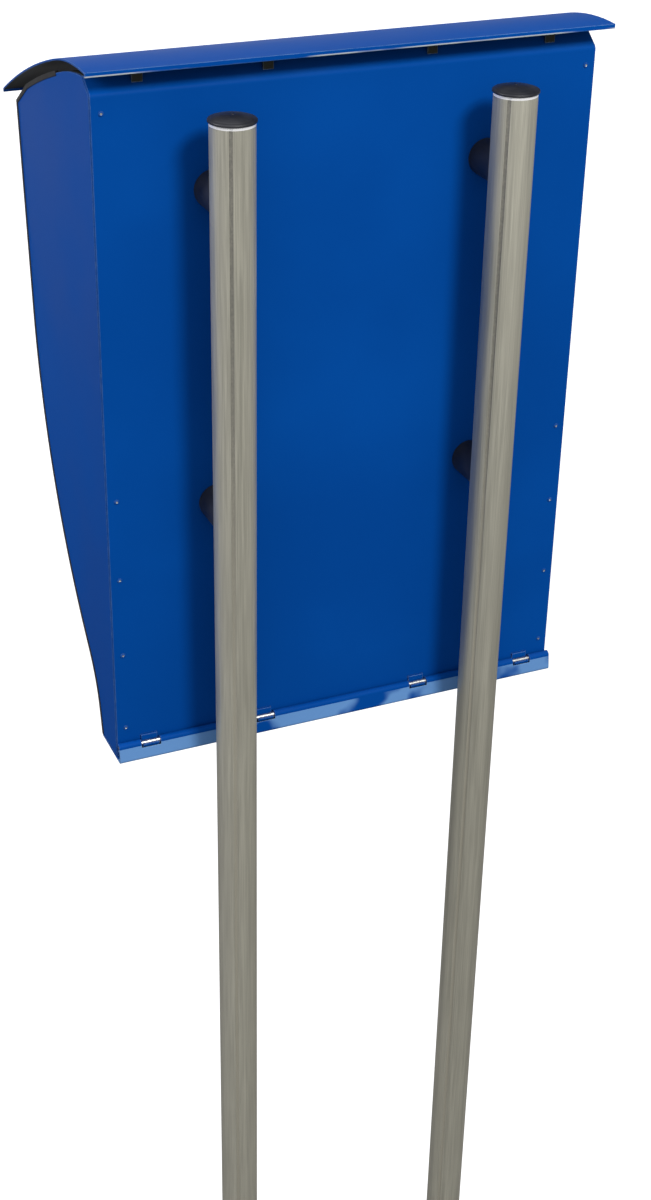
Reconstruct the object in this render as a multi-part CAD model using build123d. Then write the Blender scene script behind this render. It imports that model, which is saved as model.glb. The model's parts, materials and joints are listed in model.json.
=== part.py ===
from build123d import *
import os
from math import atan2, cos, degrees, hypot, radians, sin, sqrt

# Post box with a tilting front door, carried on two round posts. Millimetres.
# The model is drawn in the box's own frame: X = 0 on the centre plane, Y = 0 on the rear face of the
# back panel with the front towards -Y, and Z = 0 on the underside of the door's floor. It is written
# out with the origin midway between front and rear, level with the lower ends of the posts.

# ---- driving sizes -------------------------------------------------------------------------------
box_width = 580.0            # over the outer faces of the side panels
box_height = 812.0           # underside of the floor to the highest point of the side panels
sheet = 2.0                  # sheet thickness of the box, door and roof

# side outline: depths are measured forward from the rear face, drops down from box_height
rear_chamfer_run = 20.0      # the back panel leans forward over the top of this length
rear_chamfer_drop = 15.0
shoulder_depth = 233.0       # where the curved top meets the front chamfer
front_chamfer_run = 50.0
front_chamfer_drop = 96.0    # lower end of the front chamfer, at the top of the door

# door outline, from the top edge down to the lip behind the back panel
door_lean = 4.4              # degrees, the upper part leans forward at its top
knee_height = 269.0
knee_radius = 620.0
heel_height = 70.0
heel_depth = 73.0
heel_radius = 140.0
toe_depth = 58.0
toe_radius = 6.0
lip_foot = 13.0              # how far the lip's foot stands behind the rear face
lip_radius = 4.0
door_top_gap = 2.5           # between the door's top edge and the front rail
edge_gap = 3.0               # between the door sheet and the front edges of the side panels

# roof: two tangent arcs, the crown near the rear face and a flatter fall to the front
roof_half_length = 299.0
roof_gap = 12.0              # air gap between the box top and the roof
roof_crown_offset = 2.0      # crown, behind the rear face
roof_rear_reach = 20.0
roof_front_reach = 303.0
roof_crown_radius = 330.0
roof_blend_depth = 90.0      # where the crown arc hands over to the front arc
roof_front_radius = 1196.0
roof_rear_hem = 5.0
roof_front_hem = 4.0

# posts and their fixings
post_spacing = 320.0
post_diameter = 48.0
post_wall = 2.0
post_length = 2000.0
post_top_drop = 37.0         # top of the tubes, below the highest point of the side panels
setting_depth = 350.0        # from the lower end to the rolled line that marks the ground
setting_line_width = 2.0
setting_line_depth = 0.5
post_gap = 35.0              # from the back panel to the posts
seam_width = 2.5
seam_depth = 0.6
seam_angles = {"left_post": 44.0, "right_post": 25.0}   # degrees from +Y towards +X
spacer_diameter = 42.0
lower_fixing = 323.0
upper_fixing_drop = 124.0     # below the highest point of the side panels
bolt_diameter = 8.0
bolt_head_across = 13.0
bolt_head_height = 5.3
bolt_head_chamfer = 0.7      # corner rounding, beyond the flats' inscribed circle
washer_diameter = 24.0
washer_thickness = 1.6
nut_flange_diameter = 16.0
nut_flange_thickness = 1.5
nut_body_diameter = 11.0
nut_body_length = 16.0
nut_grip = 0.5               # how far the flange's round recess reaches past the post's face
bolt_reach_into_post = 14.0
cap_overhang = 1.6
cap_lip = 2.5
cap_rise = 7.0
cap_rim = 4.0                # sloping rim outside the dome
cap_rim_rise = 1.5
cap_crown_share = 0.55       # point of the dome's arc, as a share of its radius
cap_crown_drop = 1.1         # and below its top
cap_plug_length = 22.0
cap_plug_wall = 2.5

# panels
panel_bottom = 4.5           # lower edge of the back and side panels
flange_width = 24.0
panel_inset = 1.0            # back panel, in from the outer faces of the side panels
back_bend_radius = 6.0
rivet_inset = 12.0
lower_rivets = (43.0, 143.0, 243.0, 343.0)
top_rivet_drop = 34.0        # below the highest point of the side panels
rivet_diameter = 3.2
rivet_head_diameter = 6.0
rivet_head_height = 1.2
rivet_head_rounding = 0.84
rivet_tail = 3.0             # formed end of the rivet, past the inner sheet
rivet_tail_diameter = 4.8
top_flange = 15.0
stop_depth = 13.0            # front face of the door stop, behind the outer face of the door
stop_drop = 30.0             # lower edge of the door stop, below the door's top edge
stop_seat = 18.0
tab_positions = (94.0, 236.0)
tab_width = 12.0
tab_depth = 9.0
tab_foot = 18.0
roof_spacer_diameter = 14.0
roof_spacer_depth = 190.0
roof_spacer_positions = (94.0, 236.0)
roof_screw_diameter = 5.0
roof_screw_bite = 0.6        # share of the roof gap that the screw's thread reaches
roof_screw_head_depth = 3.2
roof_screw_slope_room = 6.0  # from the top panel's outer face down to the head, on the slope

# tilt hinge at the lower rear edge
hinge_rod_diameter = 6.0
hinge_height = 20.0
curl_gap = 0.5               # between the rolled lip and the rear face
hook_positions = (103.0, 250.0)
hook_width = 20.0
hook_leg = 24.0
hook_cradle_reach = 4.0      # the cradle ends this far above a level line, 20 mm out
hook_slot_rise = 0.8         # slots in the back panel, above the rolled lip
hook_slot_room = 1.0         # slot height beyond the hook's thickness
lip_window_room = 0.7        # window for a hook, in front of the hinge rod's axis
window_side_gap = 2.0
door_end_gap = 1.0           # hinge rod, in from each end of the lip

# tilt stop
door_travel = 30.0           # degrees
pin_radius_arm = 300.0       # from the tilt axis to the stop pins
pin_lead = 36.0              # degrees forward of vertical, stop pins with the door shut
pin_diameter = 10.0
pin_end_play = 1.0           # degrees
cheek_gap = 2.5              # side panel to cheek
cheek_rear_gap = 8.0
cheek_top = 352.0
cheek_band = 30.0
cheek_top_drop = 45.0
cheek_corner = 40.0
cheek_notch_run = 22.0       # lower rear corner cut away, so that it clears the back panel as it swings
cheek_notch_rise = 28.0
washer_outer = 24.0
clip_outer = 18.0
clip_thickness = 1.5
clip_groove = 1.0
pin_end_land = 2.0           # pin beyond its clip

# posting slot and flap
slot_width = 340.0
slot_height = 42.0
slot_drop = 90.0             # top of the slot, below the door's top edge
slot_collar_depth = 14.0
slot_collar_wall = 2.0
slot_corner = 5.0
frame_rise = 2.5
flap_rod_diameter = 5.0
flap_axis_drop = 78.0
flap_axis_rise = 8.0
flap_rod_end = 0.8           # rod beyond the ears
frame_margin = 2.0           # slot frame beyond the flap and the ears
frame_head = 8.0             # slot frame above the flap's axis
flap_overlap = 6.0
flap_thickness = 2.0
flap_grip_radius = 4.0
ear_thickness = 6.0
ear_radius = 5.5
ear_foot = 9.0               # lower end of the ear, below the flap's axis
ear_root = 1.0               # ear sunk into the frame
spring_position = 121.0      # middle of each return spring, from the centre plane
spring_length = 24.0
spring_wire = 1.2
spring_window_gap = 1.0
flap_side_gap = 0.5

# lock
lock_drop = 48.0
lock_flange_diameter = 28.0
lock_flange_rise = 3.0
lock_flange_rounding = 1.2
lock_plug_step = 0.4         # plug's face, proud of the flange
lock_barrel_diameter = 19.0
lock_plug_diameter = 12.0
lock_barrel_depth = 15.0
lock_nut_across = 24.0
lock_nut_thickness = 5.0
cam_depth = 17.5
cam_thickness = 2.5
cam_width = 14.0
cam_corner = 6.5
cam_reach = 30.0
cam_screw_diameter = 5.0
cam_screw_head_diameter = 9.0
cam_screw_head = 3.0
cam_screw_length = 8.0
keyway_width = 1.2
keyway_length = 7.0
keyway_depth = 6.0

# notice holder
card_width = 190.0
card_height = 62.0
card_drop = 196.0            # centre of the notice, below the door's top edge
card_thickness = 0.6
card_corner = 1.0
window_thickness = 1.5
holder_rim = 9.0
holder_lip = 4.0             # rim over the window's edge
holder_face = 1.6            # rim's thickness in front of the window
holder_chamfer = 1.0
holder_corner = 6.0

# letter guide behind the slot
guide_width = 364.0
guide_depth = 70.0
guide_length = 92.0
guide_slope = 12.0
guide_radius = 15.0
guide_foot = 16.0
guide_sheet = 1.5
guide_foot_radius = 2.5

buffer_diameter = 14.0
buffer_positions = (-225.0, 225.0)
buffer_inset = 2.0           # from the stop's lower edge

# named clearances
running_gap = 0.05           # pin or shaft in its bore
fit_gap = 0.2                # a fixed piece in its hole
rest_gap = 0.3               # faces of two bodies that lie against each other
beyond = 400.0               # length of cutting shapes that pass right through

# ---- worked out from the driving sizes -----------------------------------------------------------
half_width = box_width / 2
inner_half = half_width - sheet
post_top = box_height - post_top_drop            # height of the tubes' tops in the box frame
fixing_heights = (lower_fixing, box_height - upper_fixing_drop)
rivet_heights = lower_rivets + (box_height - top_rivet_drop,)
box_floor = post_length - post_top               # underside of the box above the posts' lower ends
post_radius = post_diameter / 2
post_axis = post_gap + post_radius
cap_radius = post_radius + cap_overhang
row_shift = (roof_front_reach - post_axis - cap_radius) / 2
chamfer_foot = box_height - front_chamfer_drop
top_depth = shoulder_depth + front_chamfer_run
curl_radius = hinge_rod_diameter / 2 + sheet
hinge_axis = (curl_radius + curl_gap, hinge_height)
lean = radians(door_lean)
cheek_outer = inner_half - cheek_gap
roof_crown = box_height + roof_gap + sheet
flap_width = slot_width + 2 * flap_overlap
flap_drop = slot_drop + slot_height + flap_overlap
frame_top_drop = flap_axis_drop - frame_head
frame_half_width = flap_width / 2 + flap_side_gap + ear_thickness + frame_margin


# ---- helpers -------------------------------------------------------------------------------------
def unit(start, end):
    """Direction from one point to another in the side view."""
    length = hypot(end[0] - start[0], end[1] - start[1])
    return (end[0] - start[0]) / length, (end[1] - start[1]) / length


def left_turns(points):
    """For each corner of an outline: +1 where it turns left, -1 where it turns right."""
    turns = []
    for before, corner, after in zip(points, points[1:], points[2:]):
        a, b = unit(before, corner), unit(corner, after)
        turns.append(1 if a[0] * b[1] - a[1] * b[0] > 0 else -1)
    return turns


def shifted(points, distance):
    """An open outline moved sideways to its left, with mitred corners."""
    ways = [unit(a, b) for a, b in zip(points, points[1:])]
    ways = [ways[0]] + ways + [ways[-1]]
    moved = []
    for point, a, b in zip(points, ways, ways[1:]):
        across = (-a[1] - b[1], a[0] + b[0])
        scale = distance / (across[0] * -a[1] + across[1] * a[0])
        moved.append((point[0] + across[0] * scale, point[1] + across[1] * scale))
    return moved


def bent_line(points, radii):
    """Edges of an outline whose corners have the given radii."""
    if len(points) == 2:
        return Line(*points).edges()
    return FilletPolyline(*points, radius=radii).edges()


def sheet_section(points, radii, thickness=sheet):
    """Section of a bent sheet that lies to the left of an outline."""
    inner = shifted(points, thickness)
    inner_radii = [radius - turn * thickness for radius, turn in zip(radii, left_turns(points))]
    ends = [Line(points[0], inner[0]).edge(), Line(points[-1], inner[-1]).edge()]
    return make_face(bent_line(points, radii) + bent_line(inner, inner_radii) + ends)


def polygon(*points):
    """Flat face with straight sides."""
    return make_face(Polyline(*points, close=True).edges())


def prism(face, x_from, x_to):
    """Extrude a side-view section along X."""
    return extrude(Plane.YZ.offset(x_from) * face, amount=x_to - x_from, dir=(1, 0, 0))


def tube_along_x(centre, radius, x_from, x_to):
    """Round bar along X about a point of the side view."""
    return prism(Pos(*centre) * Circle(radius), x_from, x_to)


def rod_along_y(x, z, radius, y_from, y_to):
    """Round bar along Y."""
    plane = Plane(origin=(x, y_from, z), x_dir=(1, 0, 0), z_dir=(0, 1, 0))
    return extrude(plane * Circle(radius), amount=y_to - y_from)


def meet(point_a, way_a, point_b, way_b):
    """Point where two lines of the side view cross."""
    cross = way_a[0] * way_b[1] - way_a[1] * way_b[0]
    along = ((point_b[0] - point_a[0]) * way_b[1] - (point_b[1] - point_a[1]) * way_b[0]) / cross
    return point_a[0] + way_a[0] * along, point_a[1] + way_a[1] * along


def on_door(drop, depth):
    """Side-view point below the top of the door's outer line and behind its outer face."""
    down = (sin(lean), -cos(lean))
    inward = (cos(lean), sin(lean))
    return (-top_depth + down[0] * drop + inward[0] * depth,
            chamfer_foot + down[1] * drop + inward[1] * depth)


def door_plane(drop, depth=0.0):
    """Plane on the upper part of the door: X across, Y up the door, Z out to the front."""
    y, z = on_door(drop, depth)
    return Plane(origin=(0, y, z), x_dir=(1, 0, 0), z_dir=(0, -cos(lean), -sin(lean)))


def on_both_sides(make):
    """A piece and its mirror image, as one group of solids."""
    piece = make()
    return group([piece, mirror(piece, about=Plane.YZ)])


def group(pieces):
    """Several separate solids as one compound."""
    return Compound(children=[solid for piece in pieces for solid in piece.solids()])


# ---- side-view outlines --------------------------------------------------------------------------
def door_points():
    """Corners of the door's outer line, from its top edge down to the foot of its lip."""
    knee = meet(on_door(0, 0), (sin(lean), -cos(lean)), (0, knee_height), (1, 0))
    lip_top = (hinge_axis[0] + curl_radius, hinge_axis[1])
    return [on_door(door_top_gap, 0), knee, (-heel_depth, heel_height), (-toe_depth, 0),
            (lip_foot, 0), lip_top]


def door_radii():
    """Bend radii at the inner corners of door_points."""
    return [knee_radius, heel_radius, toe_radius, lip_radius]


def roof_arcs(drop):
    """Centres and radii of the roof's two arcs, for a line a given distance inside its outer face."""
    crown_centre = (roof_crown_offset, roof_crown - roof_crown_radius)
    run = roof_crown_offset + roof_blend_depth
    fall = asin_ratio(run, roof_crown_radius)
    away = (-sin(fall), cos(fall))
    back = roof_front_radius - roof_crown_radius
    front_centre = (crown_centre[0] - away[0] * back, crown_centre[1] - away[1] * back)
    return (crown_centre, roof_crown_radius - drop), (front_centre, roof_front_radius - drop), fall


def asin_ratio(opposite, radius):
    """Angle in radians whose sine is opposite over radius."""
    return atan2(opposite, sqrt(radius * radius - opposite * opposite))


def arc_edge(centre, radius, angle_from, angle_to):
    """Arc about a centre between two angles in radians, counted from +Z towards -Y."""
    start = degrees(angle_from) + 90
    return CenterArc(centre, radius, start, degrees(angle_to - angle_from)).edge()


def arc_point(centre, radius, angle):
    """Point of an arc at an angle counted from +Z towards -Y."""
    return centre[0] - radius * sin(angle), centre[1] + radius * cos(angle)


def roof_line(drop):
    """The roof's two arcs at a distance inside its outer face, with their end points."""
    (crown_centre, crown_radius), (front_centre, front_radius), blend = roof_arcs(drop)
    rear = -asin_ratio(roof_rear_reach - roof_crown_offset, roof_crown_radius)
    front = asin_ratio(roof_front_reach + front_centre[0], roof_front_radius)
    edges = [arc_edge(crown_centre, crown_radius, rear, blend),
             arc_edge(front_centre, front_radius, blend, front)]
    return edges, arc_point(crown_centre, crown_radius, rear), arc_point(front_centre, front_radius, front)


def under_roof(lowering):
    """Everything below the roof's outer line after it is lowered."""
    edges, rear, front = roof_line(0)
    sides = Polyline(rear, (rear[0], -beyond), (front[0], -beyond), front).edges()
    return Pos(0, -lowering) * make_face(edges + list(sides))


def box_side():
    """Outer outline of a side panel before its front edge is drawn back from the door sheet."""
    above = box_height + beyond
    frame = polygon(*back_outline(), (-rear_chamfer_run, above), (-shoulder_depth, above),
                    (-shoulder_depth, shoulder_height()), (-top_depth, chamfer_foot),
                    (-top_depth, panel_bottom))
    return frame & under_roof(roof_gap + sheet)


def shoulder_height():
    """Height of the curved top where it meets the front chamfer."""
    _, (centre, radius), _ = roof_arcs(0)
    return centre[1] + sqrt(radius ** 2 - (shoulder_depth + centre[0]) ** 2) - roof_gap - sheet


def inside_door(margin):
    """Space behind the door sheet, a margin in from the door's outer line."""
    points = shifted(door_points()[:5], margin)
    radii = [r - turn * margin for r, turn in zip(door_radii()[:3], left_turns(door_points()[:5]))]
    radii = [max(radius, toe_radius / 12) for radius in radii]
    line = bent_line(points, radii)
    top, end = points[0], points[-1]
    above = (end[0], box_height + beyond)
    start = (top[0] - sin(lean) * beyond, top[1] + cos(lean) * beyond)
    return make_face(line + Polyline(end, above, start, top).edges())


# ---- posts ---------------------------------------------------------------------------------------
def post(side, seam_angle):
    """Round tube with a lengthwise seam, a line that marks the ground and two holes for its fixings."""
    x = side * post_spacing / 2
    foot = -box_floor
    upright = (Align.CENTER, Align.CENTER, Align.MIN)
    tube = Cylinder(post_radius, post_length, align=upright)
    tube -= Cylinder(post_radius - post_wall, post_length, align=upright)
    line = Cylinder(post_radius + sheet, setting_line_width, align=upright)
    line -= Cylinder(post_radius - setting_line_depth, setting_line_width, align=upright)
    tube -= Pos(0, 0, setting_depth) * line
    seam = Pos(0, post_radius, post_length / 2) * Box(seam_width, 2 * seam_depth, post_length)
    tube -= Rot(0, 0, -seam_angle) * seam
    tube = Pos(x, post_axis, foot) * tube
    for height in fixing_heights:
        tube -= rod_along_y(x, height, nut_body_diameter / 2 + fit_gap / 2, 0, post_axis)
    return tube


def post_cap(side):
    """Domed plastic cap with a lip on the tube and a hollow plug inside it."""
    inner = post_radius - post_wall - fit_gap / 2
    dome_edge = cap_radius - cap_rim
    profile = [(0, cap_rise), (dome_edge, cap_lip + cap_rim_rise), (cap_radius, cap_lip), (cap_radius, 0),
               (inner, 0), (inner, -cap_plug_length), (inner - cap_plug_wall, -cap_plug_length),
               (inner - cap_plug_wall, -cap_plug_wall), (0, -cap_plug_wall)]
    middle = (dome_edge * cap_crown_share, cap_rise - cap_crown_drop)
    dome = ThreePointArc(profile[0], middle, profile[1])
    rim = Line(profile[1], profile[2])
    rest = Polyline(*profile[2:], profile[0])
    face = make_face([dome.edge(), rim.edge()] + list(rest.edges()))
    return Pos(side * post_spacing / 2, post_axis, post_top) * revolve(Plane.XZ * face, Axis.Z)


def at_fixings(make):
    """A piece at each of the four post fixings."""
    return group([make(side * post_spacing / 2, z) for side in (-1, 1) for z in fixing_heights])


def post_spacer(x, z):
    """Round spacer with a saddle for the post and a recess for the rivet nut's flange."""
    body = rod_along_y(x, z, spacer_diameter / 2, 0, post_axis)
    body -= rod_along_y(x, z, bolt_diameter / 2 + fit_gap, -sheet, post_axis)
    body -= rod_along_y(x, z, nut_flange_diameter / 2 + fit_gap,
                        post_gap - nut_flange_thickness - fit_gap, post_axis)
    return body - Pos(x, post_axis, z) * Cylinder(post_radius, 2 * spacer_diameter)


def post_bolt(x, z):
    """Hexagon bolt from inside the box."""
    seat = -sheet - washer_thickness
    head_plane = Plane(origin=(x, seat - bolt_head_height, z), x_dir=(1, 0, 0), z_dir=(0, 1, 0))
    hexagon = RegularPolygon(bolt_head_across / 2, 6, major_radius=False)
    head = extrude(head_plane * hexagon, amount=bolt_head_height)
    head = head & rod_along_y(x, z, bolt_head_across / 2 + bolt_head_chamfer, seat - bolt_head_height, seat)
    shank = rod_along_y(x, z, bolt_diameter / 2, seat - bolt_head_height / 2, post_gap + bolt_reach_into_post)
    return head + shank


def post_washer(x, z):
    """Plain washer under the bolt head."""
    plate = rod_along_y(x, z, washer_diameter / 2, -sheet - washer_thickness, -sheet)
    return plate - rod_along_y(x, z, bolt_diameter / 2 + fit_gap, -sheet - washer_thickness, 0)


def post_rivet_nut(x, z):
    """Flanged rivet nut in the post's wall."""
    seat = post_gap + nut_grip
    flange = rod_along_y(x, z, nut_flange_diameter / 2, post_gap - nut_flange_thickness, seat)
    flange -= Pos(x, post_axis, z) * Cylinder(post_radius, 2 * nut_flange_diameter)
    body = rod_along_y(x, z, nut_body_diameter / 2, post_gap - nut_flange_thickness,
                       post_gap + nut_body_length - nut_flange_thickness)
    return (flange + body) - rod_along_y(x, z, bolt_diameter / 2 + running_gap, 0, post_axis)


# ---- box -----------------------------------------------------------------------------------------
def back_outline():
    """Corners of the back panel's outer line."""
    return [(0, panel_bottom), (0, box_height - rear_chamfer_drop), (-rear_chamfer_run, box_height)]


def ahead_of_back():
    """Space in front of the back panel's inner face."""
    outer, points = back_outline(), shifted(back_outline(), sheet)
    out = unit(points[-1], outer[-1])
    high = (outer[-1][0] + out[0] * beyond, outer[-1][1] + out[1] * beyond)
    reach = -top_depth - beyond
    rest = Polyline(points[-1], high, (reach, high[1]), (reach, panel_bottom), points[0])
    return make_face(bent_line(points, [back_bend_radius - sheet]) + rest.edges())


def back_panel():
    """Rear sheet, drilled for posts and rivets and slotted for the hooks."""
    section = sheet_section(back_outline(), [back_bend_radius])
    panel = prism(section, -half_width + panel_inset, half_width - panel_inset)
    for side in (-1, 1):
        for height in fixing_heights:
            x = side * post_spacing / 2
            panel -= rod_along_y(x, height, bolt_diameter / 2 + fit_gap, -2 * sheet, sheet)
        for height in rivet_heights:
            x = side * (half_width - rivet_inset)
            panel -= rod_along_y(x, height, rivet_diameter / 2 + fit_gap / 2, -2 * sheet, sheet)
        for position in hook_positions:
            low, high = hook_slot()
            centre = Pos(side * position, -sheet / 2, (low + high) / 2)
            panel -= centre * Box(hook_width + 2 * fit_gap, 4 * sheet, high - low + 2 * fit_gap)
    return panel


def side_panel(side):
    """Side sheet with a flange behind the back panel, its front edge drawn back from the door."""
    outline = box_side() & inside_door(sheet + edge_gap) & ahead_of_back()
    flange_top = box_height - rear_chamfer_drop - 2 * sheet
    flange_outline = polygon((-sheet, panel_bottom), (-sheet, flange_top),
                             (-2 * sheet, flange_top), (-2 * sheet, panel_bottom))
    plate = prism(outline, inner_half, half_width)
    flange = prism(flange_outline, half_width - flange_width, half_width)
    for height in rivet_heights:
        flange -= rod_along_y(half_width - rivet_inset, height, rivet_diameter / 2 + fit_gap / 2,
                              -3 * sheet, 0)
    panel = plate + flange
    return panel if side > 0 else mirror(panel, about=Plane.YZ)


def rear_rivet(x, z):
    """Blind rivet: domed head outside, formed bulb inside."""
    head = rod_along_y(x, z, rivet_head_diameter / 2, 0, rivet_head_height)
    head = fillet(head.faces().sort_by(Axis.Y)[-1].edges(), rivet_head_rounding)
    tail = -2 * sheet - rivet_tail
    shank = rod_along_y(x, z, rivet_diameter / 2, tail, rivet_head_height / 2)
    bulb = rod_along_y(x, z, rivet_tail_diameter / 2, tail, -2 * sheet)
    return head + shank + bulb


def rear_rivets():
    """All rivets along both rear edges."""
    return group([rear_rivet(side * (half_width - rivet_inset), z) for side in (-1, 1)
                  for z in rivet_heights])


def top_panel():
    """Curved top between the side panels, with a flange down each end."""
    shell = under_roof(roof_gap + sheet) - under_roof(roof_gap + 2 * sheet)
    span = polygon(*end_line((0, box_height - rear_chamfer_drop), (-rear_chamfer_run, box_height)),
                   *end_line((-top_depth, chamfer_foot), (-shoulder_depth, shoulder_height()))[::-1])
    panel = prism(shell & span, -inner_half, inner_half)
    skirt = (under_roof(roof_gap + sheet) - under_roof(roof_gap + sheet + top_flange)) & span
    for side in (-1, 1):
        ends = sorted((side * inner_half, side * (inner_half - sheet)))
        panel += prism(skirt, *ends)
    for x, y in roof_screw_places():
        hole = Pos(x, y, box_height) * Cylinder(roof_screw_diameter / 2 + fit_gap / 2, beyond)
        panel -= hole
    return panel


def end_line(start, end):
    """Line square across the end of a neighbouring sheet, a clearance beyond it."""
    way = unit(start, end)
    point = (end[0] + way[0] * fit_gap, end[1] + way[1] * fit_gap)
    reach = 5 * top_flange
    if way[0] < 0:
        way = (-way[0], -way[1])
    return [(point[0] + way[1] * reach, point[1] - way[0] * reach),
            (point[0] - way[1] * reach, point[1] + way[0] * reach)]


def roof_screw_places():
    """Centres of the roof's screws and spacers, seen from above."""
    return [(side * position, -roof_spacer_depth) for side in (-1, 1)
            for position in roof_spacer_positions]


def front_rail():
    """Sloping cross member between the top panel and the door."""
    line = [(-shoulder_depth, shoulder_height()), (-top_depth, chamfer_foot)]
    return prism(sheet_section(line, []), -inner_half, inner_half)


def door_stop():
    """Angle strip under the front rail that the door closes against."""
    slope = unit((-shoulder_depth, shoulder_height()), (-top_depth, chamfer_foot))
    under = shifted([(-shoulder_depth, shoulder_height()), (-top_depth, chamfer_foot)], sheet)[0]
    corner = meet(under, slope, on_door(0, stop_depth), (sin(lean), -cos(lean)))
    rear = (corner[0] - slope[0] * stop_seat, corner[1] - slope[1] * stop_seat)
    line = [rear, corner, on_door(stop_drop, stop_depth)]
    return prism(sheet_section(line, [1.5 * sheet]), -inner_half, inner_half)


def door_buffer(x):
    """Rubber buffer on the door stop."""
    plane = door_plane(stop_drop - buffer_diameter / 2 - buffer_inset, stop_depth)
    height = stop_depth - sheet - rest_gap
    return extrude(plane * Pos(x, 0) * Circle(buffer_diameter / 2), amount=height)


def door_buffers():
    """Both rubber buffers."""
    return group([door_buffer(x) for x in buffer_positions])


# ---- roof ----------------------------------------------------------------------------------------
def roof_shell():
    """Side-view section of the roof without its turned-down edges."""
    outer, rear_out, front_out = roof_line(0)
    inner, rear_in, front_in = roof_line(sheet)
    ends = [Line(rear_out, rear_in).edge(), Line(front_out, front_in).edge()]
    return make_face(outer + inner + ends)


def roof():
    """Arched sheet with turned-down rear and front edges."""
    _, rear_out, front_out = roof_line(0)
    rear_lip = polygon(rear_out, (rear_out[0], rear_out[1] - roof_rear_hem),
                       (rear_out[0] - sheet, rear_out[1] - roof_rear_hem),
                       (rear_out[0] - sheet, rear_out[1] - sheet / 2))
    front_lip = polygon(front_out, (front_out[0], front_out[1] - roof_front_hem),
                        (front_out[0] + sheet, front_out[1] - roof_front_hem),
                        (front_out[0] + sheet, front_out[1] + sheet * 0.3))
    return prism(roof_shell() + rear_lip + front_lip, -roof_half_length, roof_half_length)


def roof_tab(x):
    """Small bracket between the back panel's sloping top and the roof."""
    front, back, high = -tab_depth - sheet, -tab_depth, box_height + beyond
    leg = polygon((front, 0), (front, high), (back, high), (back, 0))
    foot_span = polygon((front, 0), (front, high), (front + tab_foot, high), (front + tab_foot, 0))
    foot = under_roof(sheet) & foot_span
    foot -= under_roof(2 * sheet)
    above_panel = polygon((0, box_height - rear_chamfer_drop), (-rear_chamfer_run, box_height),
                          (-rear_chamfer_run, high), (0, high))
    section = (leg & under_roof(sheet) & above_panel) + foot - roof_shell()
    return prism(section, x - tab_width / 2, x + tab_width / 2)


def roof_tabs():
    """Four roof brackets along the rear edge."""
    return group([roof_tab(side * x) for side in (-1, 1) for x in tab_positions])


def roof_spacer(x, y):
    """Round spacer between the top panel and the roof, threaded for its screw."""
    gap = prism(under_roof(sheet) - under_roof(roof_gap + sheet) - roof_shell(),
                x - roof_spacer_diameter, x + roof_spacer_diameter)
    post_piece = Pos(x, y, box_height) * Cylinder(roof_spacer_diameter / 2, beyond) & gap
    bore = Pos(x, y, box_height) * Cylinder(roof_screw_diameter / 2 + running_gap, beyond)
    return post_piece - bore


def roof_spacers():
    """Four spacers towards the front of the roof."""
    return group([roof_spacer(x, y) for x, y in roof_screw_places()])


def roof_screw(x, y):
    """Screw from inside the box into a roof spacer."""
    face_height = roof_height(-y) - roof_gap - sheet
    shank_top = face_height + roof_gap * roof_screw_bite
    head_high = face_height - roof_screw_slope_room
    head_low = head_high - roof_screw_head_depth
    shank = Pos(x, y, (head_low + shank_top) / 2) * Cylinder(roof_screw_diameter / 2, shank_top - head_low)
    head = Pos(x, y, (head_low + head_high) / 2) * Cylinder(roof_screw_diameter, head_high - head_low)
    return shank + head


def roof_height(depth):
    """Height of the roof's outer face at a depth in front of the blend."""
    _, (centre, radius), _ = roof_arcs(0)
    return centre[1] + sqrt(radius ** 2 - (depth + centre[0]) ** 2)


def roof_screws():
    """Four roof screws."""
    return group([roof_screw(x, y) for x, y in roof_screw_places()])


# ---- tilt hinge and stops ------------------------------------------------------------------------
def hook_slot():
    """Lower and upper edge of the slots that the hooks pass through."""
    low = hinge_axis[1] + curl_radius + hook_slot_rise
    return low, low + sheet + hook_slot_room


def hook():
    """Hook from inside the back panel, out through its slot and round under the hinge rod."""
    face = rest_gap / 30
    bore = hinge_rod_diameter / 2 + running_gap
    outer = hinge_axis[0] - rest_gap / 3
    ring = Pos(*hinge_axis) * (Circle(outer) - Circle(bore))
    below, behind = hinge_axis[1] - hook_width, hinge_axis[0] + hook_width
    keep = polygon((face, below), (face, hinge_axis[1]), hinge_axis,
                   (behind, hinge_axis[1] + hook_cradle_reach), (behind, below))
    cradle = ring & keep
    low, high = hook_slot()
    neck_front = hinge_axis[0] - bore
    neck = polygon((face, hinge_axis[1]), (neck_front, hinge_axis[1]), (neck_front, high), (face, high))
    through = polygon((-2 * sheet, low), (neck_front, low), (neck_front, high), (-2 * sheet, high))
    leg = polygon((-sheet - face, low), (-2 * sheet, low), (-2 * sheet, low + hook_leg),
                  (-sheet - face, low + hook_leg))
    return cradle + neck + through + leg


def hinge_hooks():
    """Four hooks that carry the door's hinge rod."""
    places = [side * x for side in (-1, 1) for x in hook_positions]
    return group([prism(hook(), x - hook_width / 2, x + hook_width / 2) for x in places])


def hinge_rod():
    """Steel rod in the door's rolled lip."""
    reach = half_width - door_end_gap
    return tube_along_x(hinge_axis, hinge_rod_diameter / 2, -reach, reach)


def pin_centre():
    """Side-view centre of the stop pins."""
    angle = radians(pin_lead)
    return (hinge_axis[0] - pin_radius_arm * sin(angle), hinge_axis[1] + pin_radius_arm * cos(angle))


def pin_end():
    """How far the stop pins reach in past the side panel."""
    return cheek_gap + sheet + rest_gap + clip_thickness + pin_end_land


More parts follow.
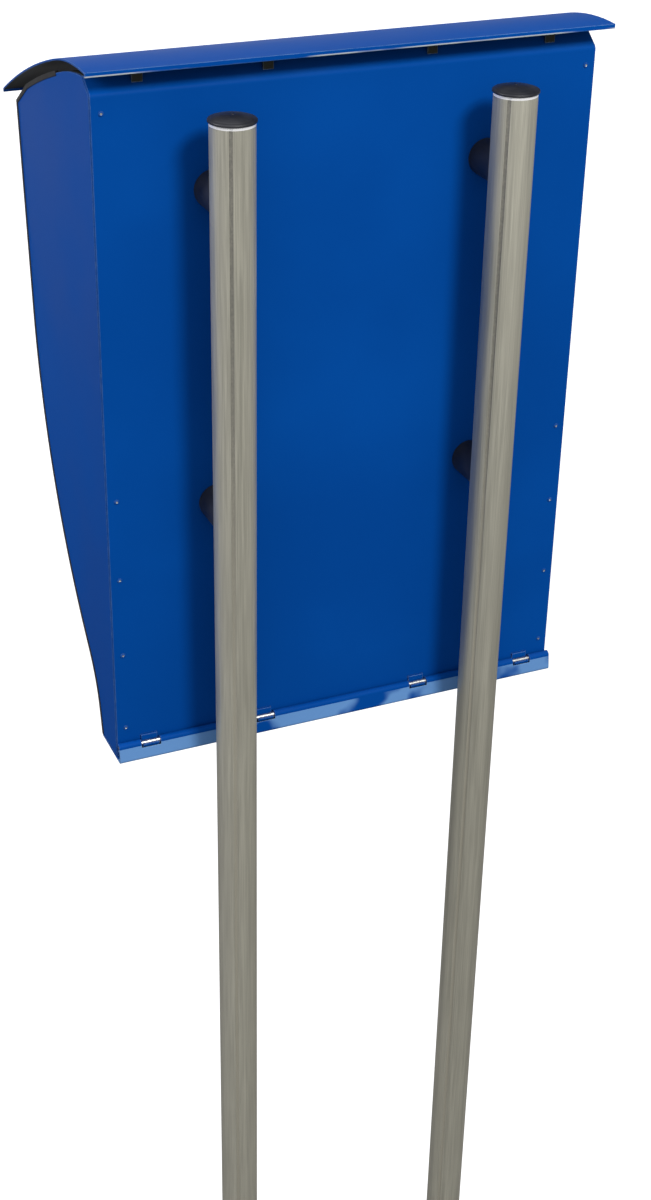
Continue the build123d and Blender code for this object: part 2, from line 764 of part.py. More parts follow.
def stop_pin():
    """Stud on the side panel that runs in the cheek's slot, grooved for its clip."""
    pin = tube_along_x(pin_centre(), pin_diameter / 2, inner_half - pin_end(), inner_half)
    groove_from = cheek_outer - sheet - rest_gap - clip_thickness
    groove = tube_along_x(pin_centre(), pin_diameter / 2, groove_from, groove_from + clip_thickness)
    core = pin_diameter / 2 - clip_groove
    groove -= tube_along_x(pin_centre(), core, groove_from, groove_from + clip_thickness)
    return pin - groove


def ring_on_pin(bore, outer, x_from, x_to):
    """Flat ring round a stop pin."""
    return prism(Pos(*pin_centre()) * (Circle(outer / 2) - Circle(bore / 2)), x_from, x_to)


def friction_washer():
    """Plastic washer between side panel and cheek that makes the door stay where it is put."""
    return ring_on_pin(pin_diameter + 2 * running_gap, washer_outer, cheek_outer + rest_gap, inner_half)


def stop_clip():
    """Retaining ring in the pin's groove."""
    x_from = cheek_outer - sheet - rest_gap - clip_thickness
    bore = pin_diameter - 2 * clip_groove + 2 * running_gap
    return ring_on_pin(bore, clip_outer, x_from, x_from + clip_thickness)


# ---- door ----------------------------------------------------------------------------------------
def front_door():
    """One bent sheet: curved front, floor, and a lip rolled round the hinge rod."""
    section = sheet_section(door_points(), door_radii())
    curl = Pos(*hinge_axis) * Circle(curl_radius)
    open_side = (hinge_axis[0] - curl_radius * 2, hinge_axis[0] + curl_gap * 2)
    under = (hinge_axis[1] - curl_radius * 2, hinge_axis[1] - curl_gap * 2)
    section = section + (curl - polygon((open_side[0], under[0]), (open_side[0], under[1]),
                                        (open_side[1], under[1]), (open_side[1], under[0])))
    section -= Pos(*hinge_axis) * Circle(hinge_rod_diameter / 2 + running_gap)
    door = prism(section, -half_width, half_width)
    window = hinge_axis[0] + lip_window_room
    for x in [side * x for side in (-1, 1) for x in hook_positions]:
        half = hook_width / 2 + window_side_gap
        door -= tube_along_x(hinge_axis, window, x - half, x + half)
    door -= through_door(slot_drop - slot_collar_wall - fit_gap,
                         slot_width + 2 * (slot_collar_wall + fit_gap),
                         slot_height + 2 * (slot_collar_wall + fit_gap), slot_corner + slot_collar_wall)
    barrel = door_plane(lock_drop) * Circle(lock_barrel_diameter / 2 + fit_gap)
    return door - extrude(barrel, amount=5 * sheet, both=True)


def through_door(drop, width, height, corner):
    """Rounded opening through the door sheet, its top edge a drop below the door's top."""
    outline = door_plane(drop + height / 2) * RectangleRounded(width, height, corner)
    return extrude(outline, amount=5 * sheet, both=True)


def cheek(side):
    """Inner side plate of the door, with the arc slot that runs on the stop pin."""
    inside = inside_door(sheet)
    tall = polygon((-cheek_rear_gap, sheet + cheek_notch_rise), (-cheek_rear_gap, cheek_top),
                   (-top_depth, cheek_top), (-top_depth, 0),
                   (-cheek_rear_gap - cheek_notch_run * (1 + sheet / cheek_notch_rise), 0))
    tall = fillet([v for v in tall.vertices() if v.X > -cheek_rear_gap - 1 and v.Y > cheek_top - 1],
                  cheek_corner)
    low, high, reach = cheek_top - cheek_corner, on_door(cheek_top_drop, 0)[1], -top_depth - beyond
    band = (inside - inside_door(sheet + cheek_band)) & polygon(
        (-cheek_rear_gap, low), (-cheek_rear_gap, high), (reach, high), (reach, low))
    plate = (inside & tall) + band
    arc = CenterArc(hinge_axis, pin_radius_arm, 90 + pin_lead + pin_end_play,
                    -door_travel - 2 * pin_end_play)
    plate -= SlotArc(arc, pin_diameter + 2 * rest_gap)
    body = prism(plate, cheek_outer - sheet, cheek_outer)
    return body if side > 0 else mirror(body, about=Plane.YZ)


def slot_frame():
    """Bezel with a collar through the door and two ears for the flap's rod."""
    height = flap_drop + frame_margin - frame_top_drop
    plane = door_plane(frame_top_drop + height / 2)
    plate = extrude(plane * RectangleRounded(2 * frame_half_width, height, slot_corner), amount=frame_rise)
    hole_plane = door_plane(slot_drop + slot_height / 2)
    collar_outline = RectangleRounded(slot_width + 2 * slot_collar_wall,
                                      slot_height + 2 * slot_collar_wall, slot_corner + slot_collar_wall)
    collar = extrude(hole_plane * collar_outline, amount=-slot_collar_depth)
    passage = extrude(hole_plane * RectangleRounded(slot_width, slot_height, slot_corner),
                      amount=2 * slot_collar_depth, both=True)
    body = plate + collar - passage
    for side in (-1, 1):
        body += ear(side)
    return body - flap_rod_bar(flap_rod_diameter / 2 + running_gap, frame_margin + 1)


def ear(side):
    """Lug on the slot frame that holds one end of the flap's rod."""
    x = side * (flap_width / 2 + flap_side_gap + ear_thickness / 2)
    axis = on_door(flap_axis_drop, -flap_axis_rise)
    knuckle = Pos(*axis) * Circle(ear_radius)
    high, low = flap_axis_drop - ear_radius, flap_axis_drop + ear_radius
    web = polygon(on_door(high, -ear_root), on_door(high, -flap_axis_rise),
                  on_door(low, -flap_axis_rise), on_door(flap_axis_drop + ear_foot, -ear_root))
    return prism(knuckle + web, x - ear_thickness / 2, x + ear_thickness / 2)


def flap_rod_bar(radius, extra):
    """Bar on the flap's hinge axis, longer than the frame's ears by an extra length."""
    reach = flap_width / 2 + flap_side_gap + ear_thickness + extra
    return tube_along_x(on_door(flap_axis_drop, -flap_axis_rise), radius, -reach, reach)


def flap_rod():
    """Rod through both ears, a little proud at each end."""
    return flap_rod_bar(flap_rod_diameter / 2, flap_rod_end)


def posting_flap():
    """Plate with a rolled top on the rod and a rolled grip along its lower edge."""
    axis = on_door(flap_axis_drop, -flap_axis_rise)
    roll = flap_rod_diameter / 2 + running_gap + flap_thickness
    back = flap_axis_rise - roll
    front = back + flap_thickness
    plate = polygon(on_door(flap_axis_drop, -back), on_door(flap_drop, -back),
                    on_door(flap_drop, -front), on_door(flap_axis_drop, -front))
    grip_centre = on_door(flap_drop, -(back + flap_grip_radius))
    section = plate + Pos(*axis) * Circle(roll) + Pos(*grip_centre) * Circle(flap_grip_radius)
    section -= Pos(*axis) * Circle(flap_rod_diameter / 2 + running_gap)
    flap = prism(section, -flap_width / 2, flap_width / 2)
    for side in (-1, 1):
        middle, half = side * spring_position, spring_length / 2 + spring_window_gap
        flap -= tube_along_x(axis, roll + spring_window_gap, middle - half, middle + half)
    return flap


def flap_spring():
    """Envelope of one return spring's coil round the flap's rod."""
    bore = flap_rod_diameter / 2 + fit_gap / 2
    axis = on_door(flap_axis_drop, -flap_axis_rise)
    ring = Pos(*axis) * (Circle(bore + spring_wire) - Circle(bore))
    return prism(ring, spring_position - spring_length / 2, spring_position + spring_length / 2)


def letter_guide():
    """Bent sheet behind the slot that turns letters down and keeps hands out."""
    foot_low = slot_drop - slot_collar_wall - frame_margin / 2
    foot_high = foot_low - guide_foot
    line = [on_door(foot_low, sheet), on_door(foot_high, sheet),
            on_door(foot_high + guide_slope, guide_depth),
            on_door(foot_high + guide_slope + guide_length, guide_depth)]
    section = sheet_section(line[::-1], [guide_radius, guide_foot_radius], guide_sheet)
    return prism(section, -guide_width / 2, guide_width / 2)


# ---- notice holder -------------------------------------------------------------------------------
def holder_plate(width, height, corner, low, high):
    """Flat rounded plate on the door between two distances out from its face."""
    plane = door_plane(card_drop, -low)
    return extrude(plane * RectangleRounded(width, height, corner), amount=high - low)


def info_frame():
    """Frame screwed to the door that holds the notice and its window."""
    high = card_thickness + window_thickness + holder_face
    body = holder_plate(card_width + 2 * holder_rim, card_height + 2 * holder_rim, holder_corner, 0, high)
    body = chamfer(body.faces().sort_by(Axis.Y)[0].edges(), holder_chamfer)
    pocket = holder_plate(card_width, card_height, card_corner, 0, card_thickness + window_thickness)
    view = holder_plate(card_width - 2 * holder_lip, card_height - 2 * holder_lip, card_corner, 0, 2 * high)
    return body - pocket - view


def info_card():
    """Plain notice card."""
    return holder_plate(card_width - fit_gap, card_height - fit_gap, card_corner, 0, card_thickness)


def info_window():
    """Clear window over the card."""
    low = card_thickness
    return holder_plate(card_width - fit_gap, card_height - fit_gap, card_corner,
                        low, low + window_thickness)


# ---- lock ----------------------------------------------------------------------------------------
def lock_disc(radius, low, high):
    """Disc about the lock's axis between two distances out from the door's face."""
    return extrude(door_plane(lock_drop, -low) * Circle(radius), amount=high - low)


def lock_housing():
    """Flanged barrel through the door."""
    body = lock_disc(lock_flange_diameter / 2, 0, lock_flange_rise)
    body = fillet(body.faces().sort_by(Axis.Y)[0].edges(), lock_flange_rounding)
    body += lock_disc(lock_barrel_diameter / 2, -lock_barrel_depth, 0)
    bore = lock_plug_diameter / 2 + running_gap
    return body - lock_disc(bore, -2 * lock_barrel_depth, 2 * lock_flange_rise)


def lock_nut():
    """Hexagon nut that clamps the barrel to the door."""
    plane = door_plane(lock_drop, sheet)
    nut = extrude(plane * RegularPolygon(lock_nut_across / 2, 6, major_radius=False),
                  amount=-lock_nut_thickness)
    return nut - lock_disc(lock_barrel_diameter / 2 + running_gap, -lock_barrel_depth, 0)


def lock_plug():
    """Turning core with a keyway, a step at its face and a threaded end."""
    face = lock_flange_rise + lock_plug_step
    core = lock_disc(lock_plug_diameter / 2, -cam_depth, face)
    keyway = door_plane(lock_drop, -face) * Rectangle(keyway_width, keyway_length)
    core -= extrude(keyway, amount=-keyway_depth)
    bore_end = -cam_depth + cam_screw_length + 1
    return core - lock_disc(cam_screw_diameter / 2 + running_gap, -2 * cam_depth, bore_end)


def lock_cam():
    """Flat cam that lies across the door when unlocked and points up when locked."""
    plane = door_plane(lock_drop, cam_depth)
    length = cam_reach + cam_width / 2
    bar = Pos(length / 2 - cam_width / 2, 0) * RectangleRounded(length, cam_width, cam_corner)
    plate = extrude(plane * bar, amount=-cam_thickness)
    return plate - lock_disc(cam_screw_diameter / 2 + running_gap, -2 * cam_depth, 0)


def lock_cam_screw():
    """Screw that holds the cam on the plug."""
    back = -cam_depth - cam_thickness
    head = lock_disc(cam_screw_head_diameter / 2, back - cam_screw_head, back)
    return head + lock_disc(cam_screw_diameter / 2, back - cam_screw_head / 2, -cam_depth + cam_screw_length)


# ---- all pieces ----------------------------------------------------------------------------------
def all_pieces():
    """Every piece by name."""
    return {
        "left_post": post(-1, seam_angles["left_post"]),
        "right_post": post(1, seam_angles["right_post"]),
        "left_post_cap": post_cap(-1),
        "right_post_cap": post_cap(1),
        "post_spacers": at_fixings(post_spacer),
        "post_bolts": at_fixings(post_bolt),
        "post_washers": at_fixings(post_washer),
        "post_rivet_nuts": at_fixings(post_rivet_nut),
        "back_panel": back_panel(),
        "left_side_panel": side_panel(-1),
        "right_side_panel": side_panel(1),
        "rear_rivets": rear_rivets(),
        "top_panel": top_panel(),
        "front_rail": front_rail(),
        "door_stop": door_stop(),
        "door_buffers": door_buffers(),
        "roof": roof(),
        "roof_tabs": roof_tabs(),
        "roof_spacers": roof_spacers(),
        "roof_screws": roof_screws(),
        "hinge_hooks": hinge_hooks(),
        "stop_pins": on_both_sides(stop_pin),
        "stop_clips": on_both_sides(stop_clip),
        "friction_washers": on_both_sides(friction_washer),
        "front_door": front_door(),
        "hinge_rod": hinge_rod(),
        "left_cheek": cheek(-1),
        "right_cheek": cheek(1),
        "slot_frame": slot_frame(),
        "flap_rod": flap_rod(),
        "posting_flap": posting_flap(),
        "flap_springs": on_both_sides(flap_spring),
        "letter_guide": letter_guide(),
        "info_frame": info_frame(),
        "info_card": info_card(),
        "info_window": info_window(),
        "lock_housing": lock_housing(),
        "lock_nut": lock_nut(),
        "lock_plug": lock_plug(),
        "lock_cam": lock_cam(),
        "lock_cam_screw": lock_cam_screw(),
    }


os.makedirs("parts", exist_ok=True)
for name, piece in all_pieces().items():
    export_step(Pos(0, row_shift, box_floor) * piece, "parts/" + name + ".step")
print("written; row shift", round(row_shift, 3), "box floor", box_floor)
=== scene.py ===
import json
from math import cos, pi, radians, sin, tau

import bmesh
import bpy
from mathutils import Matrix, Vector


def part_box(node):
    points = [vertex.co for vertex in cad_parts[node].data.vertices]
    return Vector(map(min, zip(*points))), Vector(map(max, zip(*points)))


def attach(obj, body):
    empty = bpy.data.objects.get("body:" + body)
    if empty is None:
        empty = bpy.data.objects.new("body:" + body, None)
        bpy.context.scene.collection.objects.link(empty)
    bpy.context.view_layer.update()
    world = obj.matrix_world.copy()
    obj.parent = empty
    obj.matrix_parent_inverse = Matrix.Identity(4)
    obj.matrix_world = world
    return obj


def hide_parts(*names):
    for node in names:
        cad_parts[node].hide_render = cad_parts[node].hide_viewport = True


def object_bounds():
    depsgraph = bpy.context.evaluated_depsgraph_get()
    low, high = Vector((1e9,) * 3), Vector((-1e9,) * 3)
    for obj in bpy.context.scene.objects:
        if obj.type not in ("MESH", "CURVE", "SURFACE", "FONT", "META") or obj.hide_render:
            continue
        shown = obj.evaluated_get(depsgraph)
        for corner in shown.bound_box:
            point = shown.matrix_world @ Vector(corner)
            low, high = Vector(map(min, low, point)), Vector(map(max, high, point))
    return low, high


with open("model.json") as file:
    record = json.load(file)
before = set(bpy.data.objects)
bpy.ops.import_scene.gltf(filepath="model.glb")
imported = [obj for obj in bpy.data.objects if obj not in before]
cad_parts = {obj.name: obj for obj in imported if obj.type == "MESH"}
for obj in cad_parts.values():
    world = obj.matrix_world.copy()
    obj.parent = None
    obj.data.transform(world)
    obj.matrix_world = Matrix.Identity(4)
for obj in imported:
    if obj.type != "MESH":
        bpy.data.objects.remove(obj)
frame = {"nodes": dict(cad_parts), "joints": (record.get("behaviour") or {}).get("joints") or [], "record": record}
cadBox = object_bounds()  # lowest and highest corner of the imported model
print("frame loaded,", len(frame["nodes"]), "nodes")

millimetre = 0.001


# small helpers for node trees
def addNode(tree, kind, inputs=None, **settings):
    node = tree.nodes.new("ShaderNode" + kind)
    for key, value in settings.items():
        setattr(node, key, value)
    for key, value in (inputs or {}).items():
        if isinstance(value, bpy.types.NodeSocket):
            tree.links.new(value, node.inputs[key])
        else:
            node.inputs[key].default_value = value
    return node


def mathNode(tree, operation, *values, clamp=False):
    node = addNode(tree, "Math", dict(enumerate(values)), operation=operation, use_clamp=clamp)
    return node.outputs[0]


def mixColours(tree, share, first, second):
    node = addNode(tree, "Mix", data_type="RGBA")
    for index, value in ((0, share), (6, first), (7, second)):
        if isinstance(value, bpy.types.NodeSocket):
            tree.links.new(value, node.inputs[index])
        else:
            node.inputs[index].default_value = value
    return node.outputs[2]


def rampBetween(tree, value, low, high, outLow=0.0, outHigh=1.0):
    node = addNode(tree, "MapRange", {0: value, 1: low, 2: high, 3: outLow, 4: outHigh},
                   interpolation_type="SMOOTHSTEP")
    return node.outputs[0]


def newGroup(name, inputs, outputs):
    # inputs are (socket name, type, default value) rows, outputs (socket name, type)
    tree = bpy.data.node_groups.new(name, "ShaderNodeTree")
    for label, kind, start in inputs:
        socket = tree.interface.new_socket(label, in_out="INPUT", socket_type="NodeSocket" + kind)
        socket.default_value = start
    for label, kind in outputs:
        tree.interface.new_socket(label, in_out="OUTPUT", socket_type="NodeSocket" + kind)
    entry, leave = tree.nodes.new("NodeGroupInput"), tree.nodes.new("NodeGroupOutput")
    return tree, entry.outputs, leave.inputs


def placeGroup(tree, group, **values):
    node = tree.nodes.new("ShaderNodeGroup")
    node.node_tree = group
    for key, value in values.items():
        node.inputs[key].default_value = value
    return node.outputs


def objectSpace(tree, stretch=(1, 1, 1)):
    place = addNode(tree, "TexCoord").outputs["Object"]
    return addNode(tree, "Mapping", {"Vector": place, "Scale": stretch}).outputs[0]


def axesOf(tree, vector):
    return addNode(tree, "SeparateXYZ", {0: vector}).outputs


def facingUp(tree):
    # one on a face that looks up, minus one on a face that looks down
    return axesOf(tree, addNode(tree, "NewGeometry").outputs["Normal"])["Z"]


noiseSpread = (0.3, 0.7)  # most values of a noise lie between these


def noiseValue(tree, scale, detail, place=None, roughness=0.5):
    place = objectSpace(tree) if place is None else place
    inputs = {"Vector": place, "Scale": scale, "Detail": detail, "Roughness": roughness}
    return addNode(tree, "TexNoise", inputs).outputs[0]


# shader node groups that several finishes share
def makeCoatGrain():
    # the low ripple of a powder coat, with slow drifts in its shade
    tree, given, out = newGroup("coatGrain", [("Ripple", "Float", 450.0), ("Drift", "Float", 3.0)],
                                [("Height", "Float"), ("Shade", "Float")])
    here = objectSpace(tree)
    tree.links.new(noiseValue(tree, given["Ripple"], 2.0, here, 0.45), out["Height"])
    drift = noiseValue(tree, given["Drift"], 3.0, here)
    tree.links.new(rampBetween(tree, drift, *noiseSpread), out["Shade"])
    return tree


# lean is the rounded normal times the flat one, chips is a noise; each from none to the full edge colour, which is
# wear on most finishes and a painted highlight on the blue coat
edgeMaskShape = {"leanFrom": 0.99, "leanTo": 0.80, "chipFrom": 0.85, "chipTo": 0.95}


def makeEdgeWearAndHighlight():
    # white along edges, broken up by a noise: where edge wear goes, and on the blue coat a painted edge highlight
    inputs = [("Width", "Float", 0.001), ("Break", "Float", 90.0), ("Reach", "Float", 0.5)]
    tree, given, out = newGroup("edgeWearAndHighlight", inputs, [("Mask", "Float"), ("Rounded", "Vector")])
    rounded = addNode(tree, "Bevel", {"Radius": given["Width"]}, samples=4).outputs[0]
    flat = addNode(tree, "NewGeometry").outputs["Normal"]
    product = addNode(tree, "VectorMath", {0: rounded, 1: flat}, operation="DOT_PRODUCT")
    lean = product.outputs["Value"]
    edge = rampBetween(tree, lean, edgeMaskShape["leanFrom"], edgeMaskShape["leanTo"])
    chips = noiseValue(tree, given["Break"], 4.0)
    low = mathNode(tree, "SUBTRACT", edgeMaskShape["chipFrom"], given["Reach"])
    broken = addNode(tree, "MapRange", {0: chips, 1: low, 2: edgeMaskShape["chipTo"]}).outputs[0]
    tree.links.new(mathNode(tree, "MULTIPLY", edge, broken, clamp=True), out["Mask"])
    tree.links.new(rounded, out["Rounded"])
    return tree


dustShape = {"facing": (0.2, 1.0), "patches": (0.35, 0.75)}


def makeSettledDust():
    # lies on what faces up, thinner where the noise is low
    inputs = [("Amount", "Float", 0.3), ("Patch", "Float", 9.0)]
    tree, given, out = newGroup("settledDust", inputs, [("Mask", "Float")])
    upward = facingUp(tree)
    patches = noiseValue(tree, given["Patch"], 5.0, roughness=0.6)
    lying = mathNode(tree, "MULTIPLY", rampBetween(tree, upward, *dustShape["facing"]),
                     rampBetween(tree, patches, *dustShape["patches"]))
    tree.links.new(mathNode(tree, "MULTIPLY", lying, given["Amount"], clamp=True), out["Mask"])
    return tree


def makeDrawnLines():
    # fine lines along Z, as a drawn tube or a brushed sheet has
    inputs = [("Fineness", "Float", 900.0), ("Bands", "Float", 45.0), ("Length", "Float", 0.01)]
    tree, given, out = newGroup("drawnLines", inputs, [("Lines", "Float"), ("Bands", "Float")])
    parts = axesOf(tree, addNode(tree, "TexCoord").outputs["Object"])
    along = mathNode(tree, "MULTIPLY", parts["Z"], given["Length"])
    drawn = addNode(tree, "CombineXYZ", {"X": parts["X"], "Y": parts["Y"], "Z": along}).outputs[0]
    fine = noiseValue(tree, given["Fineness"], 3.0, drawn, 0.6)
    broad = noiseValue(tree, given["Bands"], 2.0, drawn)
    tree.links.new(rampBetween(tree, fine, *noiseSpread), out["Lines"])
    tree.links.new(rampBetween(tree, broad, *noiseSpread), out["Bands"])
    return tree


def makeMouldedGrain():
    # spark-eroded grain of moulded plastic and rubber, and a slow change of shade
    inputs = [("Grain", "Float", 1400.0), ("Haze", "Float", 35.0)]
    tree, given, out = newGroup("mouldedGrain", inputs, [("Height", "Float"), ("Shade", "Float")])
    here = objectSpace(tree)
    place = {"Vector": here, "Scale": given["Grain"]}
    pits = addNode(tree, "TexVoronoi", place, feature="SMOOTH_F1")
    tree.links.new(pits.outputs["Distance"], out["Height"])
    haze = noiseValue(tree, given["Haze"], 4.0, here)
    tree.links.new(rampBetween(tree, haze, *noiseSpread), out["Shade"])
    return tree


coatGrain, edgeWearAndHighlight, settledDust = makeCoatGrain(), makeEdgeWearAndHighlight(), makeSettledDust()
drawnLines, mouldedGrain = makeDrawnLines(), makeMouldedGrain()
print("node groups made")


# finishes
def startMaterial(name):
    material = bpy.data.materials.new(name)
    material.use_nodes = True
    tree = material.node_tree
    tree.nodes.clear()
    shader = tree.nodes.new("ShaderNodeBsdfPrincipled")
    leave = tree.nodes.new("ShaderNodeOutputMaterial")
    tree.links.new(shader.outputs[0], leave.inputs[0])
    return material, tree, shader.inputs


def bumpFrom(tree, height, strength, depth, normal=None):
    inputs = {"Height": height, "Strength": strength, "Distance": depth}
    if normal is not None:
        inputs["Normal"] = normal
    return addNode(tree, "Bump", inputs).outputs[0]


def placeEdgeMask(tree, look):
    return placeGroup(tree, edgeWearAndHighlight, Width=look["edge"], Break=look["chips"],
                      Reach=look["edgeReach"])


def paler(colour, factor):
    return tuple(min(1.0, part * factor) for part in colour[:3]) + (1,)


coatLook = {
    "colour": (0.0007, 0.064, 0.315, 1), "deep": (0.0005, 0.054, 0.275, 1),
    "roughness": (0.44, 0.54), "specular": 0.02,
    "ripple": 0.10, "rippleDepth": 0.2 * millimetre, "rippleScale": 420.0, "drift": 3.5,
    # worn: pale edge colour, mostly a painted highlight along the coat's edges and corners, with some wear
    "worn": (0.22, 0.36, 0.56, 1), "edge": 1.6 * millimetre, "chips": 120.0, "edgeReach": 0.75,
    "dust": (0.30, 0.33, 0.38, 1), "dusting": 0.02, "dustPatch": 7.0, "dustRoughness": 0.5,
    # dull dark primer where the top coat didn't reach, which also paints the shade under the roof, on faces that
    # look down this far
    "primerShade": (0.030, 0.032, 0.024, 1), "primerShadePale": (0.045, 0.047, 0.036, 1),
    "shadeFacing": (-0.2, -0.45),
    # painted sheen: lighter patches on the lip behind the hinge, where its upturned face reflects the light, in
    # the shared frame
    "lipSheen": (0.12, 0.27, 0.55, 1), "lipFrom": 0.1114, "lipTop": 1.2445,
    "sheenPatch": 11.0, "sheenSpread": (0.41, 0.50),
    # painted highlight: a pale line along the foot of the roof's rear hem, where its edge catches the light
    "hemHighlight": (0.40, 0.45, 0.48, 1), "hemHighlightWidth": 1.4 * millimetre, "hemDepth": 2.5 * millimetre,
    "gaps": 9.0, "gapSpread": (0.38, 0.55),
}


def behindAndBelow(tree, rear, top):
    # one where Y is past rear and Z is under top
    parts = axesOf(tree, objectSpace(tree))
    return mathNode(tree, "MULTIPLY", mathNode(tree, "GREATER_THAN", parts["Y"], rear),
                    mathNode(tree, "LESS_THAN", parts["Z"], top))


def paintedSheenPatches(tree, colour):
    # lighter patches painted on the lip as its sheen
    look = coatLook
    onLip = behindAndBelow(tree, look["lipFrom"], look["lipTop"])
    patches = rampBetween(tree, noiseValue(tree, look["sheenPatch"], 3.0), *look["sheenSpread"])
    return mixColours(tree, mathNode(tree, "MULTIPLY", onLip, patches), colour, look["lipSheen"])


def paintedHemHighlight(tree, colour):
    # pale line painted as the highlight on the hem's foot
    look = coatLook
    corners = [vert.co for vert in frame["nodes"]["roof"].data.vertices]
    rear = max(corner.y for corner in corners)
    foot = min(corner.z for corner in corners if corner.y > rear - look["hemDepth"] / 2)
    onHem = behindAndBelow(tree, rear - look["hemDepth"], foot + look["hemHighlightWidth"])
    gaps = rampBetween(tree, noiseValue(tree, look["gaps"], 4.0), *look["gapSpread"])
    return mixColours(tree, mathNode(tree, "MULTIPLY", onHem, gaps), colour, look["hemHighlight"])


def blueCoat(name, shadedPrimer="", withLipSheen=False, withHemHighlight=False):
    # satin powder coat on sheet steel; dark primer, also painted shade under the roof, goes on no faces (""), on
    # faces that look down ("below") or on all faces ("all")
    look = coatLook
    material, tree, shader = startMaterial(name)
    grain = placeGroup(tree, coatGrain, Ripple=look["rippleScale"], Drift=look["drift"])
    edgeMask = placeEdgeMask(tree, look)
    dust = placeGroup(tree, settledDust, Amount=look["dusting"], Patch=look["dustPatch"])
    colour = mixColours(tree, grain["Shade"], look["deep"], look["colour"])
    # painted sheen on the door's lip
    if withLipSheen:
        colour = paintedSheenPatches(tree, colour)
    # dark primer, painted as the shade under the roof
    if shadedPrimer:
        shadeGrey = mixColours(tree, grain["Height"], look["primerShade"], look["primerShadePale"])
        down = 1.0
        if shadedPrimer == "below":
            down = rampBetween(tree, facingUp(tree), *look["shadeFacing"])
        colour = mixColours(tree, down, colour, shadeGrey)
    # painted highlight along the hem's foot
    if withHemHighlight:
        colour = paintedHemHighlight(tree, colour)
    # pale edges: painted edge highlight, with some wear
    colour = mixColours(tree, edgeMask["Mask"], colour, look["worn"])
    colour = mixColours(tree, dust["Mask"], colour, look["dust"])
    rough = rampBetween(tree, grain["Shade"], 0.0, 1.0, *look["roughness"])
    dusty = mathNode(tree, "MULTIPLY", dust["Mask"], look["dustRoughness"])
    tree.links.new(colour, shader["Base Color"])
    tree.links.new(mathNode(tree, "ADD", rough, dusty, clamp=True), shader["Roughness"])
    bump = bumpFrom(tree, grain["Height"], look["ripple"], look["rippleDepth"], edgeMask["Rounded"])
    tree.links.new(bump, shader["Normal"])
    shader["Specular IOR Level"].default_value = look["specular"]
    return material


steelLook = {
    "post": {"light": (0.62, 0.60, 0.49, 1), "dark": (0.40, 0.385, 0.31, 1),
             "roughness": (0.38, 0.54), "metal": 0.7, "lineDepth": 0.04 * millimetre,
             "lineLength": 0.01, "edge": 0.6 * millimetre},
    "slotFrame": {"light": (0.60, 0.60, 0.59, 1), "dark": (0.42, 0.42, 0.41, 1),
                  "roughness": (0.24, 0.36), "metal": 1.0, "lineDepth": 0.02 * millimetre,
                  "lineLength": 1.0, "edge": 0.6 * millimetre},
    # painted highlight: near-white band at the tube's top, standing in for the glint under the cap's lip
    "cutEndHighlight": {"light": (0.93, 0.93, 0.92, 1), "dark": (0.86, 0.86, 0.85, 1),
               "roughness": (0.28, 0.34), "metal": 0.3, "lineDepth": 0.005 * millimetre,
               "lineLength": 0.01, "edge": 0.1 * millimetre},
    # the same on all three
    "fineness": 950.0, "bands": 60.0, "fineShare": 0.55, "bandShare": 0.45, "strength": 0.6,
    "chips": 200.0, "edgeReach": 0.7, "wornPaler": 1.25,
}


def drawnSteel(name, kind):
    # tube or sheet with fine lines along it, lighter along its edges
    look = {**steelLook, **steelLook[kind]}
    material, tree, shader = startMaterial(name)
    lines = placeGroup(tree, drawnLines, Fineness=look["fineness"], Bands=look["bands"],
                       Length=look["lineLength"])
    edgeMask = placeEdgeMask(tree, look)
    streak = mathNode(tree, "ADD", mathNode(tree, "MULTIPLY", lines["Lines"], look["fineShare"]),
                      mathNode(tree, "MULTIPLY", lines["Bands"], look["bandShare"]))
    colour = mixColours(tree, streak, look["dark"], look["light"])
    worn = paler(look["light"], look["wornPaler"])
    tree.links.new(mixColours(tree, edgeMask["Mask"], colour, worn), shader["Base Color"])
    rough = rampBetween(tree, lines["Lines"], 0.0, 1.0, *look["roughness"])
    tree.links.new(rough, shader["Roughness"])
    bump = bumpFrom(tree, lines["Lines"], look["strength"], look["lineDepth"], edgeMask["Rounded"])
    tree.links.new(bump, shader["Normal"])
    shader["Metallic"].default_value = look["metal"]
    return material


seamLook = {
    "dark": (0.17, 0.165, 0.14, 1), "faint": (0.36, 0.34, 0.27, 1), "metal": 0.4,
    # heights in metres, between which the line grows dark
    "faintBelow": 1.25, "darkAbove": 1.85,
    "beads": 420.0, "beadDepth": 0.1 * millimetre, "strength": 0.4, "roughness": (0.5, 0.7),
    "mottleSpread": (0.3, 0.8), "mottle": 0.35,
}


def weldSeam():
    # weld line, dark near the top of a post and fainter towards the ground
    look = seamLook
    material, tree, shader = startMaterial("weldSeam")
    height = axesOf(tree, objectSpace(tree))["Z"]
    beads = noiseValue(tree, look["beads"], 3.0)
    dark = rampBetween(tree, height, look["faintBelow"], look["darkAbove"])
    colour = mixColours(tree, dark, look["faint"], look["dark"])
    mottle = rampBetween(tree, beads, *look["mottleSpread"], 0.0, look["mottle"])
    colour = mixColours(tree, mottle, colour, steelLook["post"]["dark"])
    tree.links.new(colour, shader["Base Color"])
    rough = rampBetween(tree, beads, *noiseSpread, *look["roughness"])
    tree.links.new(rough, shader["Roughness"])
    tree.links.new(bumpFrom(tree, beads, look["strength"], look["beadDepth"]), shader["Normal"])
    shader["Metallic"].default_value = look["metal"]
    return material


